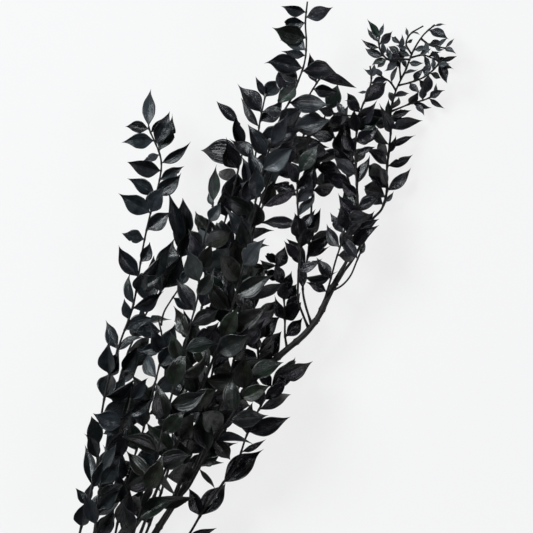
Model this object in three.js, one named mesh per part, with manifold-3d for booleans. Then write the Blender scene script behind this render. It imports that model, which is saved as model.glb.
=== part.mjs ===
// A dried ruscus stem: one cut leading stalk that lies on a surface, with leafy shoots that fork from
// it all the way up. Each shoot carries leaf-like cladodes, mostly left and right by turns. Lengths are
// in millimetres.
//
// Routes are drawn on a sheet seen from above: x to the right, y down the sheet towards the cut end, z
// up from the surface. The part's own frame has its origin on the surface under the stalk's foot, with
// +Y towards the tips and +Z up.

import * as THREE from 'three';
import { mergeVertices } from 'three/addons/utils/BufferGeometryUtils.js';
import Module from 'manifold-3d';

const wasm = await Module();
wasm.setup();

// ---- Driving dimensions -------------------------------------------------------------------------

const FOOT_ON_SHEET = { x: 70, y: 720 };   // the sheet point that the part's origin lies under
const SHOOT_SIDES = 4;                     // sides of a leafy shoot's section, one of them turned down
const STALK_SIDES = 6;                     // and of the stalk's
const CHORD_LENGTH = 60;                   // the longest straight piece of a stem
const CHORD_DROP = 0.4;                    // and how far it may leave its curve
const STUB = 9;                            // the least length of a shoot that stays in its parent's solid
const FORK_CLEARANCE = 0.7;                // from there on, what a shoot keeps from its parent
const SEAT_GAP = 0.3;                      // clearance between that stub and the shoot's own solid
const BARE_START = 3;                      // length above the stub that carries no blades

const BLADE_WIDTH_SHARE = 0.41;            // full width over length
const KEEL_DEPTH = 0.8;                    // from the midrib's line down to the keel
const NECK_WIDTH_SHARE = 0.42;             // half the width of the root in the stem, over the stem's radius
const NECK_DEPTH_SHARE = 0.62;             // and the root's depth
const STATIONS = [                         // cross-sections between root and tip, by a blade's length
  { upTo: 18, at: [0.4] },
  { upTo: 100, at: [0.24, 0.62] },
];

const PROFILE_RISE = 0.9;                  // exponents of the blade's outline
const PROFILE_FALL = 1.25;
const WIDEST = PROFILE_RISE / (PROFILE_RISE + PROFILE_FALL);

const MERGE_TOLERANCE = 0.2;               // the furthest that the joined solids' corners move
const PLACED_WIDTH = 1.08;                 // width of a placed blade whose width share is 1
const TRIES = 40;                          // poses that a blade tries before it is left out
const CHOICES = 4;                         // clear poses that it chooses from, for the least shaded one
const SHADE_CELL = 4;                      // cell of the plan in which shade is counted
const GUARD_CELL = 6;                      // cell of the grid that finds neighbours
const STEM_GUARD = 0.7;                    // clear distance kept round a stem
const BLADE_GUARD_SHARE = 0.045;           // clear distance kept round a blade, as a share of its length
const BLADE_GUARD = 0.3;

// ---- The shoots ---------------------------------------------------------------------------------
// route: sheet points from the fork to the tip. radius: at the fork and at the tip. node: the shoot that
// it is fused with. blades: stretches of the route, from .. to as shares of its length, with the blades'
// length and spacing at both ends, side 1 for left and -1 for right, spread for their angle to the stem,
// and over for the share of them that lie over the stem. placed: single blades that stand clear of the
// mass, each as [base x, base y, tip x, tip y] on the sheet, and where they differ from 1 and 0 its
// share of the common width and how far it bends to its left over its length.

const SHOOTS = [
  {
    name: 'stalk', node: 'stalk', radius: [3.2, 2.7],
    route: [[66, 738, 2.45], [70, 720, 2.45], [77, 694, 4.5], [90, 655, 11], [108, 612, 19],
      [130, 572, 26], [154, 535, 31], [180, 495, 35], [206, 452, 38], [231, 412, 40], [256, 377, 42],
      [284, 352, 43], [304, 335, 44], [318, 317.5, 44], [327, 299, 44], [335, 283.5, 44],
      [343, 270, 44]],
  },
  {
    name: 'left_outer_shoot', node: 'left_outer_shoot', radius: [1.5, 0.8],
    route: [[74, 704, 3.5], [72, 680, 10], [71, 650, 20], [72, 610, 34], [75, 565, 44], [80, 533, 50],
      [92, 490, 54], [98, 462, 56], [100, 430, 56], [107, 388, 56], [120, 344, 56], [134, 304, 56],
      [143, 250, 56], [151, 213, 56], [160, 180, 56], [161, 158, 56], [151, 133, 56], [149, 127, 56]],
    blades: [
      { from: 0.31, to: 0.72, length: [36, 32], step: [22, 20], side: -1, spread: [0.3, 0.9] },
      { from: 0.72, to: 0.76, length: [30, 30], step: [12, 12], side: -1, spread: [0.3, 0.8] },
    ],
    placed: [[149, 127, 149, 88, 0.62], [149.8, 129.6, 126, 125, 0.95], [153.5, 142, 123, 140, 0.95],
      [153, 133, 163, 117, 0.9], [157, 146, 170, 113, 0.85], [160, 151, 175, 116, 0.8],
      [160, 155, 143, 161, 0.9], [161, 170, 127, 163, 0.95], [162, 164, 191, 142, 0.6, 0.3],
      [161, 181, 184, 165, 0.9], [156.5, 194, 129, 177, 0.85], [155.5, 197, 183, 175, 0.9],
      [150.5, 212, 164, 185, 1.1], [150.5, 211, 118, 194, 0.95], [148, 230, 173, 211, 1],
      [143, 237, 122, 235, 1.2], [138.5, 275, 116, 248, 0.85], [141, 265, 152, 243, 1.1],
      [134, 303, 129, 271, 0.6, -0.4], [131, 322, 124, 299, 0.85], [118, 352, 109, 318, 0.8, -0.4],
      [108, 402, 112, 371, 1.1], [114, 376, 121, 350, 1.1], [98, 458, 90, 430, 0.7],
      [95, 487, 86, 446, 0.55], [88, 508, 90, 484, 0.6], [84, 507, 77, 487, 0.9]],
  },
  {
    name: 'left_inner_shoot', node: 'left_inner_shoot', radius: [1.5, 0.8],
    route: [[81, 682, 6], [84, 645, 10], [87, 600, 13], [90, 560, 14], [93, 533, 14], [98, 495, 13],
      [104, 455, 12], [110, 415, 12], [120, 374, 12], [130, 345, 12], [148, 309, 13], [166, 283, 14],
      [178, 263, 15], [185, 242, 16]],
    blades: [
      { from: 0.32, to: 0.62, length: [37, 36], step: [16, 15], side: -1, spread: [0.3, 1.0] },
      { from: 0.62, to: 0.8, length: [36, 34], step: [13, 12], side: -1, spread: [0.1, 0.9] },
    ],
    placed: [[186, 242, 183, 197, 0.85], [184, 246, 168, 189, 0.5], [181, 256, 171, 207, 0.5],
      [181, 258, 190, 227, 0.9], [165, 284, 170, 238, 0.9], [158, 293, 150, 256],
      [151, 304, 141, 262, 1.05], [163, 288, 183, 255, 1.05], [173, 272, 165, 287]],
  },
  {
    name: 'left_fill_shoot', node: 'left_fill_shoot', radius: [1.4, 0.8],
    route: [[92, 652, 12], [100, 610, 32], [108, 570, 48], [116, 533, 60], [124, 495, 69],
      [134, 460, 75], [144, 430, 79], [152, 400, 81], [158, 375, 82], [163, 352, 82], [163, 335, 82],
      [159, 316, 82]],
    blades: { from: 0.36, to: 0.9, length: [40, 34], step: [13, 12] },
    placed: [[160, 331, 134, 331, 1.1], [162, 345, 140, 351], [163, 350, 177, 323],
      [162, 368, 178, 341, 1.1]],
  },
  {
    name: 'left_twig', node: 'left_fill_shoot', radius: [0.9, 0.75],
    route: [[162, 325, 82], [165, 312, 83], [172, 300, 84], [180, 288, 85], [184, 279, 86]],
    placed: [[174, 298, 197, 311, 0.75], [181, 286, 192, 267, 0.9]],
  },
  {
    name: 'centre_front_shoot', node: 'centre_front_shoot', radius: [1.5, 0.8],
    route: [[99, 633, 15], [112, 600, 42], [124, 565, 62], [134, 533, 77], [146, 495, 88],
      [156, 460, 94], [165, 425, 97], [174, 390, 98], [184, 355, 98], [192, 322, 97], [199, 295, 96],
      [201, 266, 95], [205, 240, 94], [212, 215, 93], [214, 203, 93]],
    blades: { from: 0.27, to: 0.93, length: [43, 34], step: [15, 13] },
    placed: [[213, 207, 208, 194], [214, 203, 216, 166, 0.62], [207, 229, 195, 212],
      [201, 268, 192, 231, 0.8], [202, 268, 236, 247], [204, 248, 188, 230], [209, 222, 222, 203]],
  },
  {
    name: 'centre_back_shoot', node: 'centre_back_shoot', radius: [1.5, 0.8],
    route: [[104, 620, 17], [112, 604, 12], [124, 580, 12], [136, 555, 13], [146, 533, 15],
      [160, 495, 18], [172, 455, 20], [181, 415, 22], [189, 375, 24], [196, 335, 25], [203, 300, 26],
      [212, 265, 26], [222, 230, 26], [232, 195, 26], [239, 165, 26], [243, 145, 26], [239, 122, 26]],
    blades: { from: 0.2, to: 0.9, length: [43, 36], step: [18, 14] },
    placed: [[241, 151, 199, 150, 1.1], [239, 170, 226, 139, 1.1], [236, 170, 228, 212, 1.1],
      [246, 147, 232, 116, 0.7], [239, 122, 215, 100, 0.65]],
  },
  {
    name: 'centre_tall_shoot', node: 'centre_tall_shoot', radius: [1.5, 0.8],
    route: [[126, 579, 25], [139, 560, 34], [150, 545, 41], [162, 525, 47], [176, 495, 53],
      [190, 455, 57], [202, 415, 59], [212, 375, 60], [220, 335, 60], [226, 300, 60], [231, 265, 60],
      [238, 230, 60], [246, 198, 60], [253, 170, 60], [257, 145, 60], [260, 122, 60], [265, 98, 60]],
    blades: { from: 0.2, to: 0.9, length: [43, 36], step: [15, 13] },
    placed: [[265, 99, 256, 77, 0.6], [264, 99, 283, 81, 1.25], [257, 112, 236, 86],
      [257, 128, 242, 97, 0.5], [260, 122, 284, 100], [258, 141, 303, 131, 0.9]],
  },
  {
    name: 'tall_front_shoot', node: 'tall_front_shoot', radius: [1.7, 0.8],
    route: [[112, 604, 20.5], [120, 582, 36], [130, 558, 50], [141, 532, 62], [150, 508, 70],
      [160, 482, 75], [172, 455, 78], [184, 428, 79], [194, 402, 80], [204, 382, 80], [213, 360, 80],
      [222, 338, 80], [232, 308, 79], [240, 280, 79], [247, 250, 79], [252, 225, 78], [256, 200, 77],
      [262, 175, 76], [270, 148, 76], [281, 118, 76], [290, 102, 76], [297, 85, 76], [304, 65, 76],
      [306, 45, 76], [305, 25, 76], [307, 4, 76]],
    blades: [
      { from: 0.2, to: 0.61, length: [44, 42], step: [16, 15] },
      { from: 0.62, to: 0.71, length: [40, 40], step: [14, 12], side: 1 },
      { from: 0.71, to: 0.81, length: [40, 38], step: [12, 11] },
    ],
    placed: [[304, 15.5, 281, 8, 0.9], [306, 20, 333, 10, 0.95], [305, 25.5, 279, 25, 1.2],
      [305, 39, 272, 31, 1.15], [305, 52, 281, 39, 1.1], [304, 57, 282, 53, 0.7], [302, 69, 265, 60],
      [299, 82, 278, 74, 1.1], [293, 100, 286, 60, 0.9], [303, 74, 339, 72, 0.98], [296, 88, 275, 108],
      [289, 104, 331, 108, 0.9], [283, 114, 261, 112]],
  },
  {
    name: 'centre_low_shoot', node: 'centre_low_shoot', radius: [1.4, 0.8],
    route: [[165, 518, 33], [180, 480, 21], [195, 445, 15], [208, 410, 12], [218, 375, 11],
      [226, 335, 10], [233, 290, 10], [240, 262, 10], [246, 245, 10], [253, 228, 10], [260, 212, 10],
      [266, 198, 11], [273, 185, 12], [281, 168, 13], [291, 150, 14], [302, 137, 15], [312, 122, 16]],
    blades: [
      { from: 0.12, to: 0.66, length: [42, 38], step: [18, 16] },
      { from: 0.66, to: 0.82, length: [34, 34], step: [16, 14], side: 1 },
      { from: 0.83, to: 0.97, length: [36, 34], step: [12, 10] },
    ],
  },
  {
    name: 'crown_right_shoot', node: 'crown_right_shoot', radius: [1.5, 0.8],
    route: [[190, 478, 36], [206, 440, 54], [222, 400, 66], [234, 360, 70], [242, 320, 70],
      [247, 285, 69], [251, 250, 68], [257, 215, 67], [266, 188, 66], [278, 160, 66], [289, 137, 64],
      [299, 115, 62], [309, 96, 60], [319, 80, 60]],
    blades: [
      { from: 0.14, to: 0.5, length: [43, 40], step: [15, 13] },
      { from: 0.56, to: 0.76, length: [38, 38], step: [16, 14], side: 1 },
      { from: 0.77, to: 0.92, length: [38, 36], step: [11, 10] },
    ],
    placed: [[317, 84, 309, 54, 0.75, -0.3], [319, 80, 357, 91, 0.72, -0.9], [313, 90, 338, 93],
      [319, 80, 327, 62, 0.6], [230, 374, 257, 353, 0.9]],
  },
  {
    name: 'inner_right_shoot', node: 'inner_right_shoot', radius: [1.2, 0.8],
    route: [[311, 323, 44], [305, 303, 31], [303, 287, 23], [306, 268, 17], [309, 250, 13],
      [311, 228, 11], [312, 205, 10], [314, 180, 10], [318, 152, 10], [322, 127, 11], [329, 105, 13],
      [334, 94, 14]],
    blades: [
      { from: 0.22, to: 0.44, length: [34, 32], step: [11, 11] },
      { from: 0.58, to: 0.9, length: [34, 32], step: [11, 10] },
    ],
    placed: [[328, 110, 341, 81, 0.9], [316, 167, 346, 173, 1.1], [313, 190, 338, 184, 1.1],
      [304, 290, 302, 258, 0.6], [310, 247, 332, 227, 1.05], [309, 257, 331, 246, 0.5]],
  },
  {
    name: 'inner_front_shoot', node: 'inner_front_shoot', radius: [1.2, 0.8],
    route: [[308, 327, 44], [303, 315, 52], [298, 300, 59], [298, 280, 63], [299, 260, 65],
      [300, 240, 66], [298, 215, 66], [297, 190, 66], [300, 165, 65], [306, 145, 63], [312, 128, 62]],
    blades: [
      { from: 0.3, to: 0.42, length: [26, 26], step: [12, 12] },
      { from: 0.43, to: 0.7, length: [28, 28], step: [12, 11], side: -1 },
      { from: 0.72, to: 1, length: [32, 32], step: [11, 10] },
    ],
    placed: [[299, 226, 259, 222, 0.6], [297, 196, 271, 184], [296.5, 191, 262, 208, 0.55],
      [299, 240, 297, 212, 1.1]],
  },
  {
    name: 'arc_left_shoot', node: 'arc_left_shoot', radius: [1.1, 0.8],
    route: [[287, 348, 43], [285, 335, 36], [285, 318, 30], [284, 300, 26], [281, 282, 24],
      [277, 264, 23]],
    blades: { from: 0.35, to: 1, length: [28, 22], step: [10, 9] },
    placed: [[286, 336, 304, 318, 0.95], [285, 320, 302, 301, 1.15], [284, 299, 298, 284, 1.1],
      [281, 280, 264, 270, 1.1], [278, 268, 286, 246, 1.1], [277, 265, 262, 250, 0.9]],
  },
  {
    name: 'arc_low_shoot', node: 'arc_low_shoot', radius: [1.2, 0.8],
    route: [[258, 375, 42], [258, 350, 33], [256, 322, 28], [253, 296, 26], [252, 270, 26]],
    blades: { from: 0.14, to: 1, length: [34, 30], step: [10, 10] },
    placed: [[258, 354, 282, 332, 1.25], [257, 336, 281, 316, 1.25], [258, 364, 275, 348, 1.2],
      [258, 364, 239, 348, 1.1]],
  },
  {
    name: 'arc_inner_shoot', node: 'arc_inner_shoot', radius: [1.0, 0.8],
    route: [[324, 302, 44], [330, 281, 55], [335, 262, 60], [340, 246, 62], [344, 230, 63],
      [347, 214, 63]],
    blades: { from: 0.55, to: 1, length: [28, 26], step: [10, 9] },
    placed: [[331, 278, 316, 258], [325, 293, 306, 281, 0.8], [345, 234, 330, 212, 0.7]],
  },
  {
    name: 'right_inner_shoot', node: 'right_inner_shoot', radius: [1.5, 0.8],
    route: [[342, 270, 44], [350, 254, 45], [356, 235, 46], [358, 215, 47], [357, 192, 48],
      [356, 170, 48], [355, 150, 48], [357, 130, 48], [361, 110, 48], [366, 97, 48], [371, 82, 48],
      [370, 66, 48]],
    blades: { from: 0.08, to: 0.8, length: [30, 28], step: [10.5, 9.5] },
    placed: [[361, 111, 346, 98, 1.1], [358, 129, 381, 116, 1.05], [358, 140, 380, 137, 0.9],
      [356, 156, 375, 146, 0.6], [364, 104, 389, 80, 0.85], [368, 92, 358, 93, 0.7],
      [371, 79, 375, 64], [358, 211, 379, 190, 0.8], [358, 212, 342, 188, 0.8],
      [357, 226, 338, 208, 0.9], [357, 230, 379, 218, 0.75, 0.3]],
  },
  {
    name: 'right_side', node: 'right_inner_shoot', radius: [1.0, 0.8],
    route: [[357, 205, 48], [350, 184, 41], [343, 163, 36], [337, 144, 33], [331, 127, 32]],
    blades: { from: 0.25, to: 1, length: [30, 27], step: [10, 9] },
  },
  {
    name: 'right_twig', node: 'right_inner_shoot', radius: [0.9, 0.75],
    route: [[360, 116, 48], [348, 116, 53], [335, 114, 56], [326, 117, 57]],
    blades: { from: 0.5, to: 1, length: [22, 20], step: [9, 8] },
    placed: [[343, 116, 336, 102, 1.15]],
  },
  {
    name: 'right_outer_shoot', node: 'right_outer_shoot', radius: [1.4, 0.8],
    route: [[335, 281, 44], [345, 270, 37], [354, 258, 31], [362, 243, 26], [367, 229, 22],
      [374, 218, 19], [383, 208, 16], [388, 190, 14], [388, 170, 13], [390, 150, 13], [392, 130, 13],
      [392, 110, 15], [396, 92, 17], [401, 80, 18], [407, 68, 19], [414, 50, 20], [424, 34, 21],
      [436, 23, 22]],
    blades: [
      { from: 0.36, to: 0.62, length: [30, 28], step: [11, 10], side: 1 },
      { from: 0.62, to: 0.9, length: [20, 15], step: [7, 6.5] },
    ],
    placed: [[389, 165, 416, 153, 0.6, 0.4], [389, 190, 413, 167, 0.66, 0.2],
      [388, 204, 395, 191, 0.8], [391, 152, 399, 134, 0.6], [392, 144, 417, 133, 0.5, 0.3],
      [392, 128, 424, 118, 0.75], [393, 116, 413, 108, 0.65], [392, 118, 362, 112],
      [388, 187, 370, 173, 0.8], [387, 205, 364, 189, 0.9], [431, 28, 450, 37, 0.9],
      [435, 25, 447, 22, 0.5]],
  },
  {
    name: 'tuft_low', node: 'right_outer_shoot', radius: [0.9, 0.75],
    route: [[392, 110, 15], [402, 106, 12], [412, 102, 10], [426, 98, 9], [438, 93, 8]],
    blades: { from: 0.4, to: 1, length: [18, 15], step: [7.5, 7] },
    placed: [[414, 102, 433, 108, 0.6], [430, 96, 446, 107, 0.6]],
  },
  {
    name: 'tuft_middle', node: 'right_outer_shoot', radius: [0.9, 0.75],
    route: [[399, 84, 17], [412, 81, 23], [425, 76, 28], [435, 68, 32], [441, 60, 34]],
    blades: { from: 0.25, to: 1, length: [18, 15], step: [6, 5.5] },
    placed: [[440, 62, 447, 83, 0.9], [439, 64, 455, 67, 0.5], [430, 73, 428, 95, 0.9]],
  },
  {
    name: 'tuft_left', node: 'right_outer_shoot', radius: [0.9, 0.75],
    route: [[411, 58, 19], [403, 58, 26], [394, 60, 32], [387, 58, 36], [381, 51, 39], [379, 42, 40],
      [380, 34, 41]],
    blades: { from: 0.2, to: 0.65, length: [18, 16], step: [6, 6] },
    placed: [[379, 38, 367, 19, 0.65], [380, 37, 384, 23, 0.7], [381, 44, 394, 30, 0.8],
      [379, 42, 366, 28, 0.65], [380, 48, 361, 40, 0.6], [384, 57, 364, 48, 0.7],
      [388, 58, 371, 63, 0.7]],
  },
  {
    name: 'tuft_inner', node: 'right_outer_shoot', radius: [0.9, 0.75],
    route: [[397, 89, 17], [391, 81, 25], [384, 77, 30], [377, 72, 33]],
    blades: { from: 0.35, to: 1, length: [18, 16], step: [6, 6] },
  },
  {
    name: 'tuft_back', node: 'right_outer_shoot', radius: [0.9, 0.75],
    route: [[402, 78, 18], [401, 66, 12], [402, 53, 9], [401, 41, 8], [396, 34, 8]],
    blades: { from: 0.3, to: 0.9, length: [18, 14], step: [6, 5.5] },
  },
  {
    name: 'tuft_top', node: 'right_outer_shoot', radius: [0.85, 0.75],
    route: [[413, 53, 20], [407, 43, 26], [411, 33, 30], [424, 25, 32]],
    blades: { from: 0.2, to: 0.8, length: [11, 9], step: [7.5, 7] },
  },
  {
    name: 'tuft_right', node: 'right_outer_shoot', radius: [0.85, 0.75],
    route: [[412, 56, 20], [424, 53, 13], [434, 56, 10], [442, 60, 9]],
    blades: { from: 0.3, to: 1, length: [16, 13], step: [6, 5.5] },
    placed: [[441, 59, 460, 54, 0.5], [436, 57, 452, 61]],
  },
  {
    name: 'tuft_far', node: 'right_outer_shoot', radius: [0.85, 0.75],
    route: [[422, 37, 21], [431, 44, 26], [440, 46, 29], [449, 48, 31]],
    blades: { from: 0.2, to: 1, length: [16, 13], step: [5, 5] },
    placed: [[446, 47, 456, 37, 0.5]],
  },
  {
    name: 'arc_loop_shoot', node: 'arc_loop_shoot', radius: [1.0, 0.8],
    route: [[329, 292, 44], [341, 286, 52], [350, 276, 58], [356, 262, 62], [361, 250, 64]],
    placed: [[356, 259, 340, 235, 0.75], [359, 256, 365, 240, 0.7]],
  },
  {
    name: 'right_low_shoot', node: 'right_low_shoot', radius: [1.5, 0.8],
    route: [[118, 593, 22], [131, 582, 20], [146, 573, 25], [162, 563, 33], [177, 550, 40],
      [190, 533, 44], [200, 516, 46], [212, 498, 48], [225, 480, 49], [238, 460, 50], [246, 437, 50],
      [255, 417, 50], [263, 402, 50], [273, 385, 50], [280, 373, 50]],
    placed: [[279, 376, 313, 361], [281, 374, 298, 358, 0.6], [270, 389, 296.5, 361, 0.8],
      [272, 386, 256, 367, 0.9], [264, 400, 288, 379, 0.78], [261, 405, 256, 376, 0.95],
      [248, 434, 251, 402, 0.9], [260, 409, 293, 391.5, 0.5, 0.5], [249.5, 431, 291, 417, 0.78, 0.3],
      [242, 452, 266, 439, 0.5, 0.5], [224, 482, 262, 447, 0.85], [200, 517, 227, 483, 0.9],
      [199, 516, 191, 487, 0.95], [186, 540, 217, 528, 0.5]],
  },
  {
    name: 'low_front_shoot', node: 'low_front_shoot', radius: [1.2, 0.8],
    route: [[175, 503, 34], [188, 488, 52], [196, 474, 64], [203, 460, 74], [211, 445, 83],
      [221, 430, 89], [233, 412, 93], [243, 392, 94], [250, 372, 94]],
    blades: { from: 0.35, to: 1, length: [44, 40], step: [12, 12] },
    placed: [[200, 467, 217, 487, 0.4], [202, 463, 220, 455, 0.8], [216, 438, 230, 459, 1.1]],
  },
  {
    name: 'low_left_shoot', node: 'low_left_shoot', radius: [1.1, 0.8],
    route: [[133, 567, 27], [128, 548, 20], [123, 525, 16], [120, 500, 15], [118, 470, 15],
      [120, 440, 16], [127, 410, 17], [134, 385, 18]],
    blades: { from: 0.28, to: 1, length: [38, 36], step: [15, 13] },
  },
  {
    name: 'left_wisp_shoot', node: 'left_wisp_shoot', radius: [1.0, 0.8],
    route: [[86, 667, 9], [88, 640, 28], [91, 600, 49], [94, 560, 67], [97, 533, 76], [100, 500, 84],
      [104, 475, 88], [110, 455, 90], [119, 436, 91], [128, 414, 92], [134, 392, 92]],
    blades: { from: 0.5, to: 1, length: [36, 34], step: [15, 13], side: -1, spread: [0.1, 0.9] },
    placed: [[124, 422, 95, 413, 1.25], [126, 420, 104, 434, 0.9]],
  },
];

// ---- Seeded draws -------------------------------------------------------------------------------

/** A repeatable stream of numbers from 0 to 1. */
function drawsFrom(seed) {
  let state = seed >>> 0;
  return () => {
    state = (state + 0x6d2b79f5) >>> 0;
    let t = state;
    t = Math.imul(t ^ (t >>> 15), t | 1);
    t ^= t + Math.imul(t ^ (t >>> 7), t | 61);
    return ((t ^ (t >>> 14)) >>> 0) / 4294967296;
  };
}

const between = (draw, low, high) => low + (high - low) * draw();
const mix = (a, b, t) => a + (b - a) * t;

// ---- Routes -------------------------------------------------------------------------------------

const SPAN_DIVISIONS = 8;                  // points on each span of a route

function toFrame([x, y, z]) {
  return new THREE.Vector3(x - FOOT_ON_SHEET.x, FOOT_ON_SHEET.y - y, z);
}

/** The route as a smooth line of points, each with its distance from the fork. */
class Route {
  constructor(shoot) {
    const curve = new THREE.CatmullRomCurve3(shoot.route.map(toFrame), false, 'catmullrom', 0.5);
    this.points = curve.getPoints(SPAN_DIVISIONS * (shoot.route.length - 1));
    this.distances = [0];
    for (let i = 1; i < this.points.length; i++) {
      this.distances.push(this.distances[i - 1] + this.points[i].distanceTo(this.points[i - 1]));
    }
    this.length = this.distances.at(-1);
    this.radius = shoot.radius;
    this.stub = 0;
  }

  at(distance) {
    const s = Math.min(Math.max(distance, 0), this.length);
    let i = 1;
    while (i < this.points.length - 1 && this.distances[i] < s) i++;
    const span = this.distances[i] - this.distances[i - 1];
    return this.points[i - 1].clone().lerp(this.points[i], (s - this.distances[i - 1]) / span);
  }

  tangent(distance) {
    return this.at(distance + 1.5).sub(this.at(distance - 1.5)).normalize();
  }

  radiusAt(distance) {
    return mix(this.radius[0], this.radius[1], distance / this.length);
  }

  /** The distance along the route that lies nearest to a sheet point. */
  nearest(x, y) {
    const target = toFrame([x, y, 0]);
    let best = 0;
    for (let i = 1; i < this.points.length; i++) {
      const [p, q] = [this.points[i], this.points[best]];
      if (Math.hypot(p.x - target.x, p.y - target.y) < Math.hypot(q.x - target.x, q.y - target.y)) best = i;
    }
    return this.distances[best];
  }
}

/** How much of a shoot lies too close to its parent to be a solid of its own. */
function stubLength(route, parent) {
  let stub = STUB;
  for (let s = STUB; s < route.length / 2; s += 1) {
    const nearest = Math.min(...parent.points.map((p) => p.distanceTo(route.at(s))));
    if (nearest < parent.radius[0] + route.radius[0] + FORK_CLEARANCE) stub = s + 1;
  }
  return stub;
}

// ---- Guard balls --------------------------------------------------------------------------------
// Every stem and blade is surrounded by balls. A new blade is placed only where its balls meet no others.

class Guard {
  constructor() {
    this.cells = new Map();
    this.shaded = new Set();
  }

  key(i, j, k) {
    return (i * 512 + j) * 512 + k;
  }

  add(ball) {
    const key = this.key(...this.cell(ball.at));
    if (!this.cells.has(key)) this.cells.set(key, []);
    this.cells.get(key).push(ball);
    this.shaded.add(this.plan(ball.at));
  }

  plan(p) {
    return (Math.floor(p.x / SHADE_CELL) + 128) * 512 + Math.floor(p.y / SHADE_CELL) + 128;
  }

  /** How many of the balls lie over or under something that has grown. */
  shade(balls) {
    return balls.filter((ball) => this.shaded.has(this.plan(ball.at))).length;
  }

  cell(p) {
    return [p.x, p.y, p.z].map((v) => Math.floor(v / GUARD_CELL) + 128);
  }

  /** True where the ball meets none, apart from the blade's own stem near its root. */
  isClear(ball, stem, root, rootReach) {
    const [ci, cj, ck] = this.cell(ball.at);
    for (let i = ci - 1; i <= ci + 1; i++) {
      for (let j = cj - 1; j <= cj + 1; j++) {
        for (let k = ck - 1; k <= ck + 1; k++) {
          for (const other of this.cells.get(this.key(i, j, k)) ?? []) {
            if (other.at.distanceTo(ball.at) >= other.r + ball.r) continue;
            if (other.stem === stem && other.at.distanceTo(root) < rootReach) continue;
            return false;
          }
        }
      }
    }
    return true;
  }
}

// ---- Blades -------------------------------------------------------------------------------------

function outline(u) {
  const height = (t) => t ** PROFILE_RISE * (1 - t) ** PROFILE_FALL;
  return height(u) / height(WIDEST);
}

/** One cladode: a pointed blade, folded along its midrib, that bows, curves sideways and twists. */
class Blade {
  constructor({ root, stemRadius, heading, rise, length, roll, bow, sickle, twist, fold, width }) {
    Object.assign(this, { root, stemRadius, length, bow, sickle, twist, fold });
    this.halfWidth = 0.5 * BLADE_WIDTH_SHARE * width * length;
    this.along = new THREE.Vector3(Math.cos(heading) * Math.cos(rise), Math.sin(heading) * Math.cos(rise),
      Math.sin(rise));
    const level = new THREE.Vector3(-Math.sin(heading), Math.cos(heading), 0);
    const up = new THREE.Vector3().crossVectors(this.along, level);
    this.across = level.clone().multiplyScalar(Math.cos(roll)).addScaledVector(up, Math.sin(roll));
    this.face = new THREE.Vector3().crossVectors(this.along, this.across);
  }

  /** A point of the blade: u from root to tip, v from -1 to 1 across, off along the face's normal. */
  point(u, v, off = 0) {
    return this.raw(u, v, off).add(new THREE.Vector3(0, 0, this.lift(u)));
  }

  raw(u, v, off) {
    const half = this.halfWidth * outline(u);
    const turn = this.twist * u;
    const [cos, sin] = [Math.cos(turn), Math.sin(turn)];
    const across = this.across.clone().multiplyScalar(cos).addScaledVector(this.face, sin);
    const face = this.face.clone().multiplyScalar(cos).addScaledVector(this.across, -sin);
    return this.root.clone()
      .addScaledVector(this.along, this.length * u)
      .addScaledVector(this.face, 0.5 * this.bow * this.length * u * u)
      .addScaledVector(this.across, 0.5 * this.sickle * this.length * u * u)
      .addScaledVector(across, v * half)
      .addScaledVector(face, this.fold * Math.abs(v) * half + off);
  }

  /** How far a cross-section has to be raised so that it lies on the surface and not under it. */
  lift(u) {
    const low = Math.min(this.raw(u, -1, 0).z, this.raw(u, 1, 0).z, this.raw(u, 0, -KEEL_DEPTH).z);
    return Math.max(0, -low);
  }

  balls(stem) {
    const r = BLADE_GUARD_SHARE * this.length + BLADE_GUARD;
    const list = [{ at: this.point(0.12, 0), r, stem }];
    for (let i = 2; i < 10; i++) {
      for (const v of [-1, -0.5, 0, 0.5, 1]) list.push({ at: this.point(i / 10, v), r, stem });
    }
    list.push({ at: this.point(1, 0), r, stem });
    return list;
  }

  /** A closed solid with a flat top and a keel under its midrib, from a neck in the stem to the tip. */
  solid() {
    const stations = STATIONS.find(({ upTo }) => this.length < upTo).at;
    const [width, depth] = [NECK_WIDTH_SHARE * this.stemRadius, NECK_DEPTH_SHARE * this.stemRadius];
    const neck = [[-width, 0], [width, 0], [0, -depth]].map(([v, off]) => this.root.clone()
      .addScaledVector(this.across, v).addScaledVector(this.face, off + depth / 3));
    const rings = [neck, ...stations.map((u) => [this.point(u, -1), this.point(u, 1),
      this.point(u, 0, -KEEL_DEPTH)])];
    const points = [...rings.flat(), this.point(1, 0)];
    const faces = [[0, 1, 2]];
    for (let i = 0; i < 3 * rings.length - 3; i++) {
      const next = i % 3 === 2 ? i - 2 : i + 1;
      faces.push(...bulgingQuad(points, [i, i + 3, next + 3, next]));
    }
    const last = 3 * (rings.length - 1);
    for (let i = 0; i < 3; i++) faces.push([last + i, points.length - 1, last + (i + 1) % 3]);
    return solidOf(points, faces);
  }
}

/** A four-sided face as two triangles, cut along the diagonal that makes it bulge outwards. */
function bulgingQuad(points, [p, q, r, s]) {
  const normal = points[q].clone().sub(points[p]).cross(points[r].clone().sub(points[p]));
  const isConvex = points[s].clone().sub(points[p]).dot(normal) <= 0;
  return isConvex ? [[p, q, r], [p, r, s]] : [[p, q, s], [q, r, s]];
}

// ---- Solids -------------------------------------------------------------------------------------

/** A closed solid from points and triangles. */
function solidOf(points, faces) {
  const geometry = new THREE.BufferGeometry().setFromPoints(points);
  geometry.setIndex(faces.flat());
  const merged = mergeVertices(geometry, 1e-4);
  const solid = new wasm.Manifold(new wasm.Mesh({
    numProp: 3,
    vertProperties: merged.attributes.position.array,
    triVerts: new Uint32Array(merged.index.array),
  }));
  if (solid.volume() < 0) throw new Error('a solid is inside out');
  return solid;
}

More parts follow.
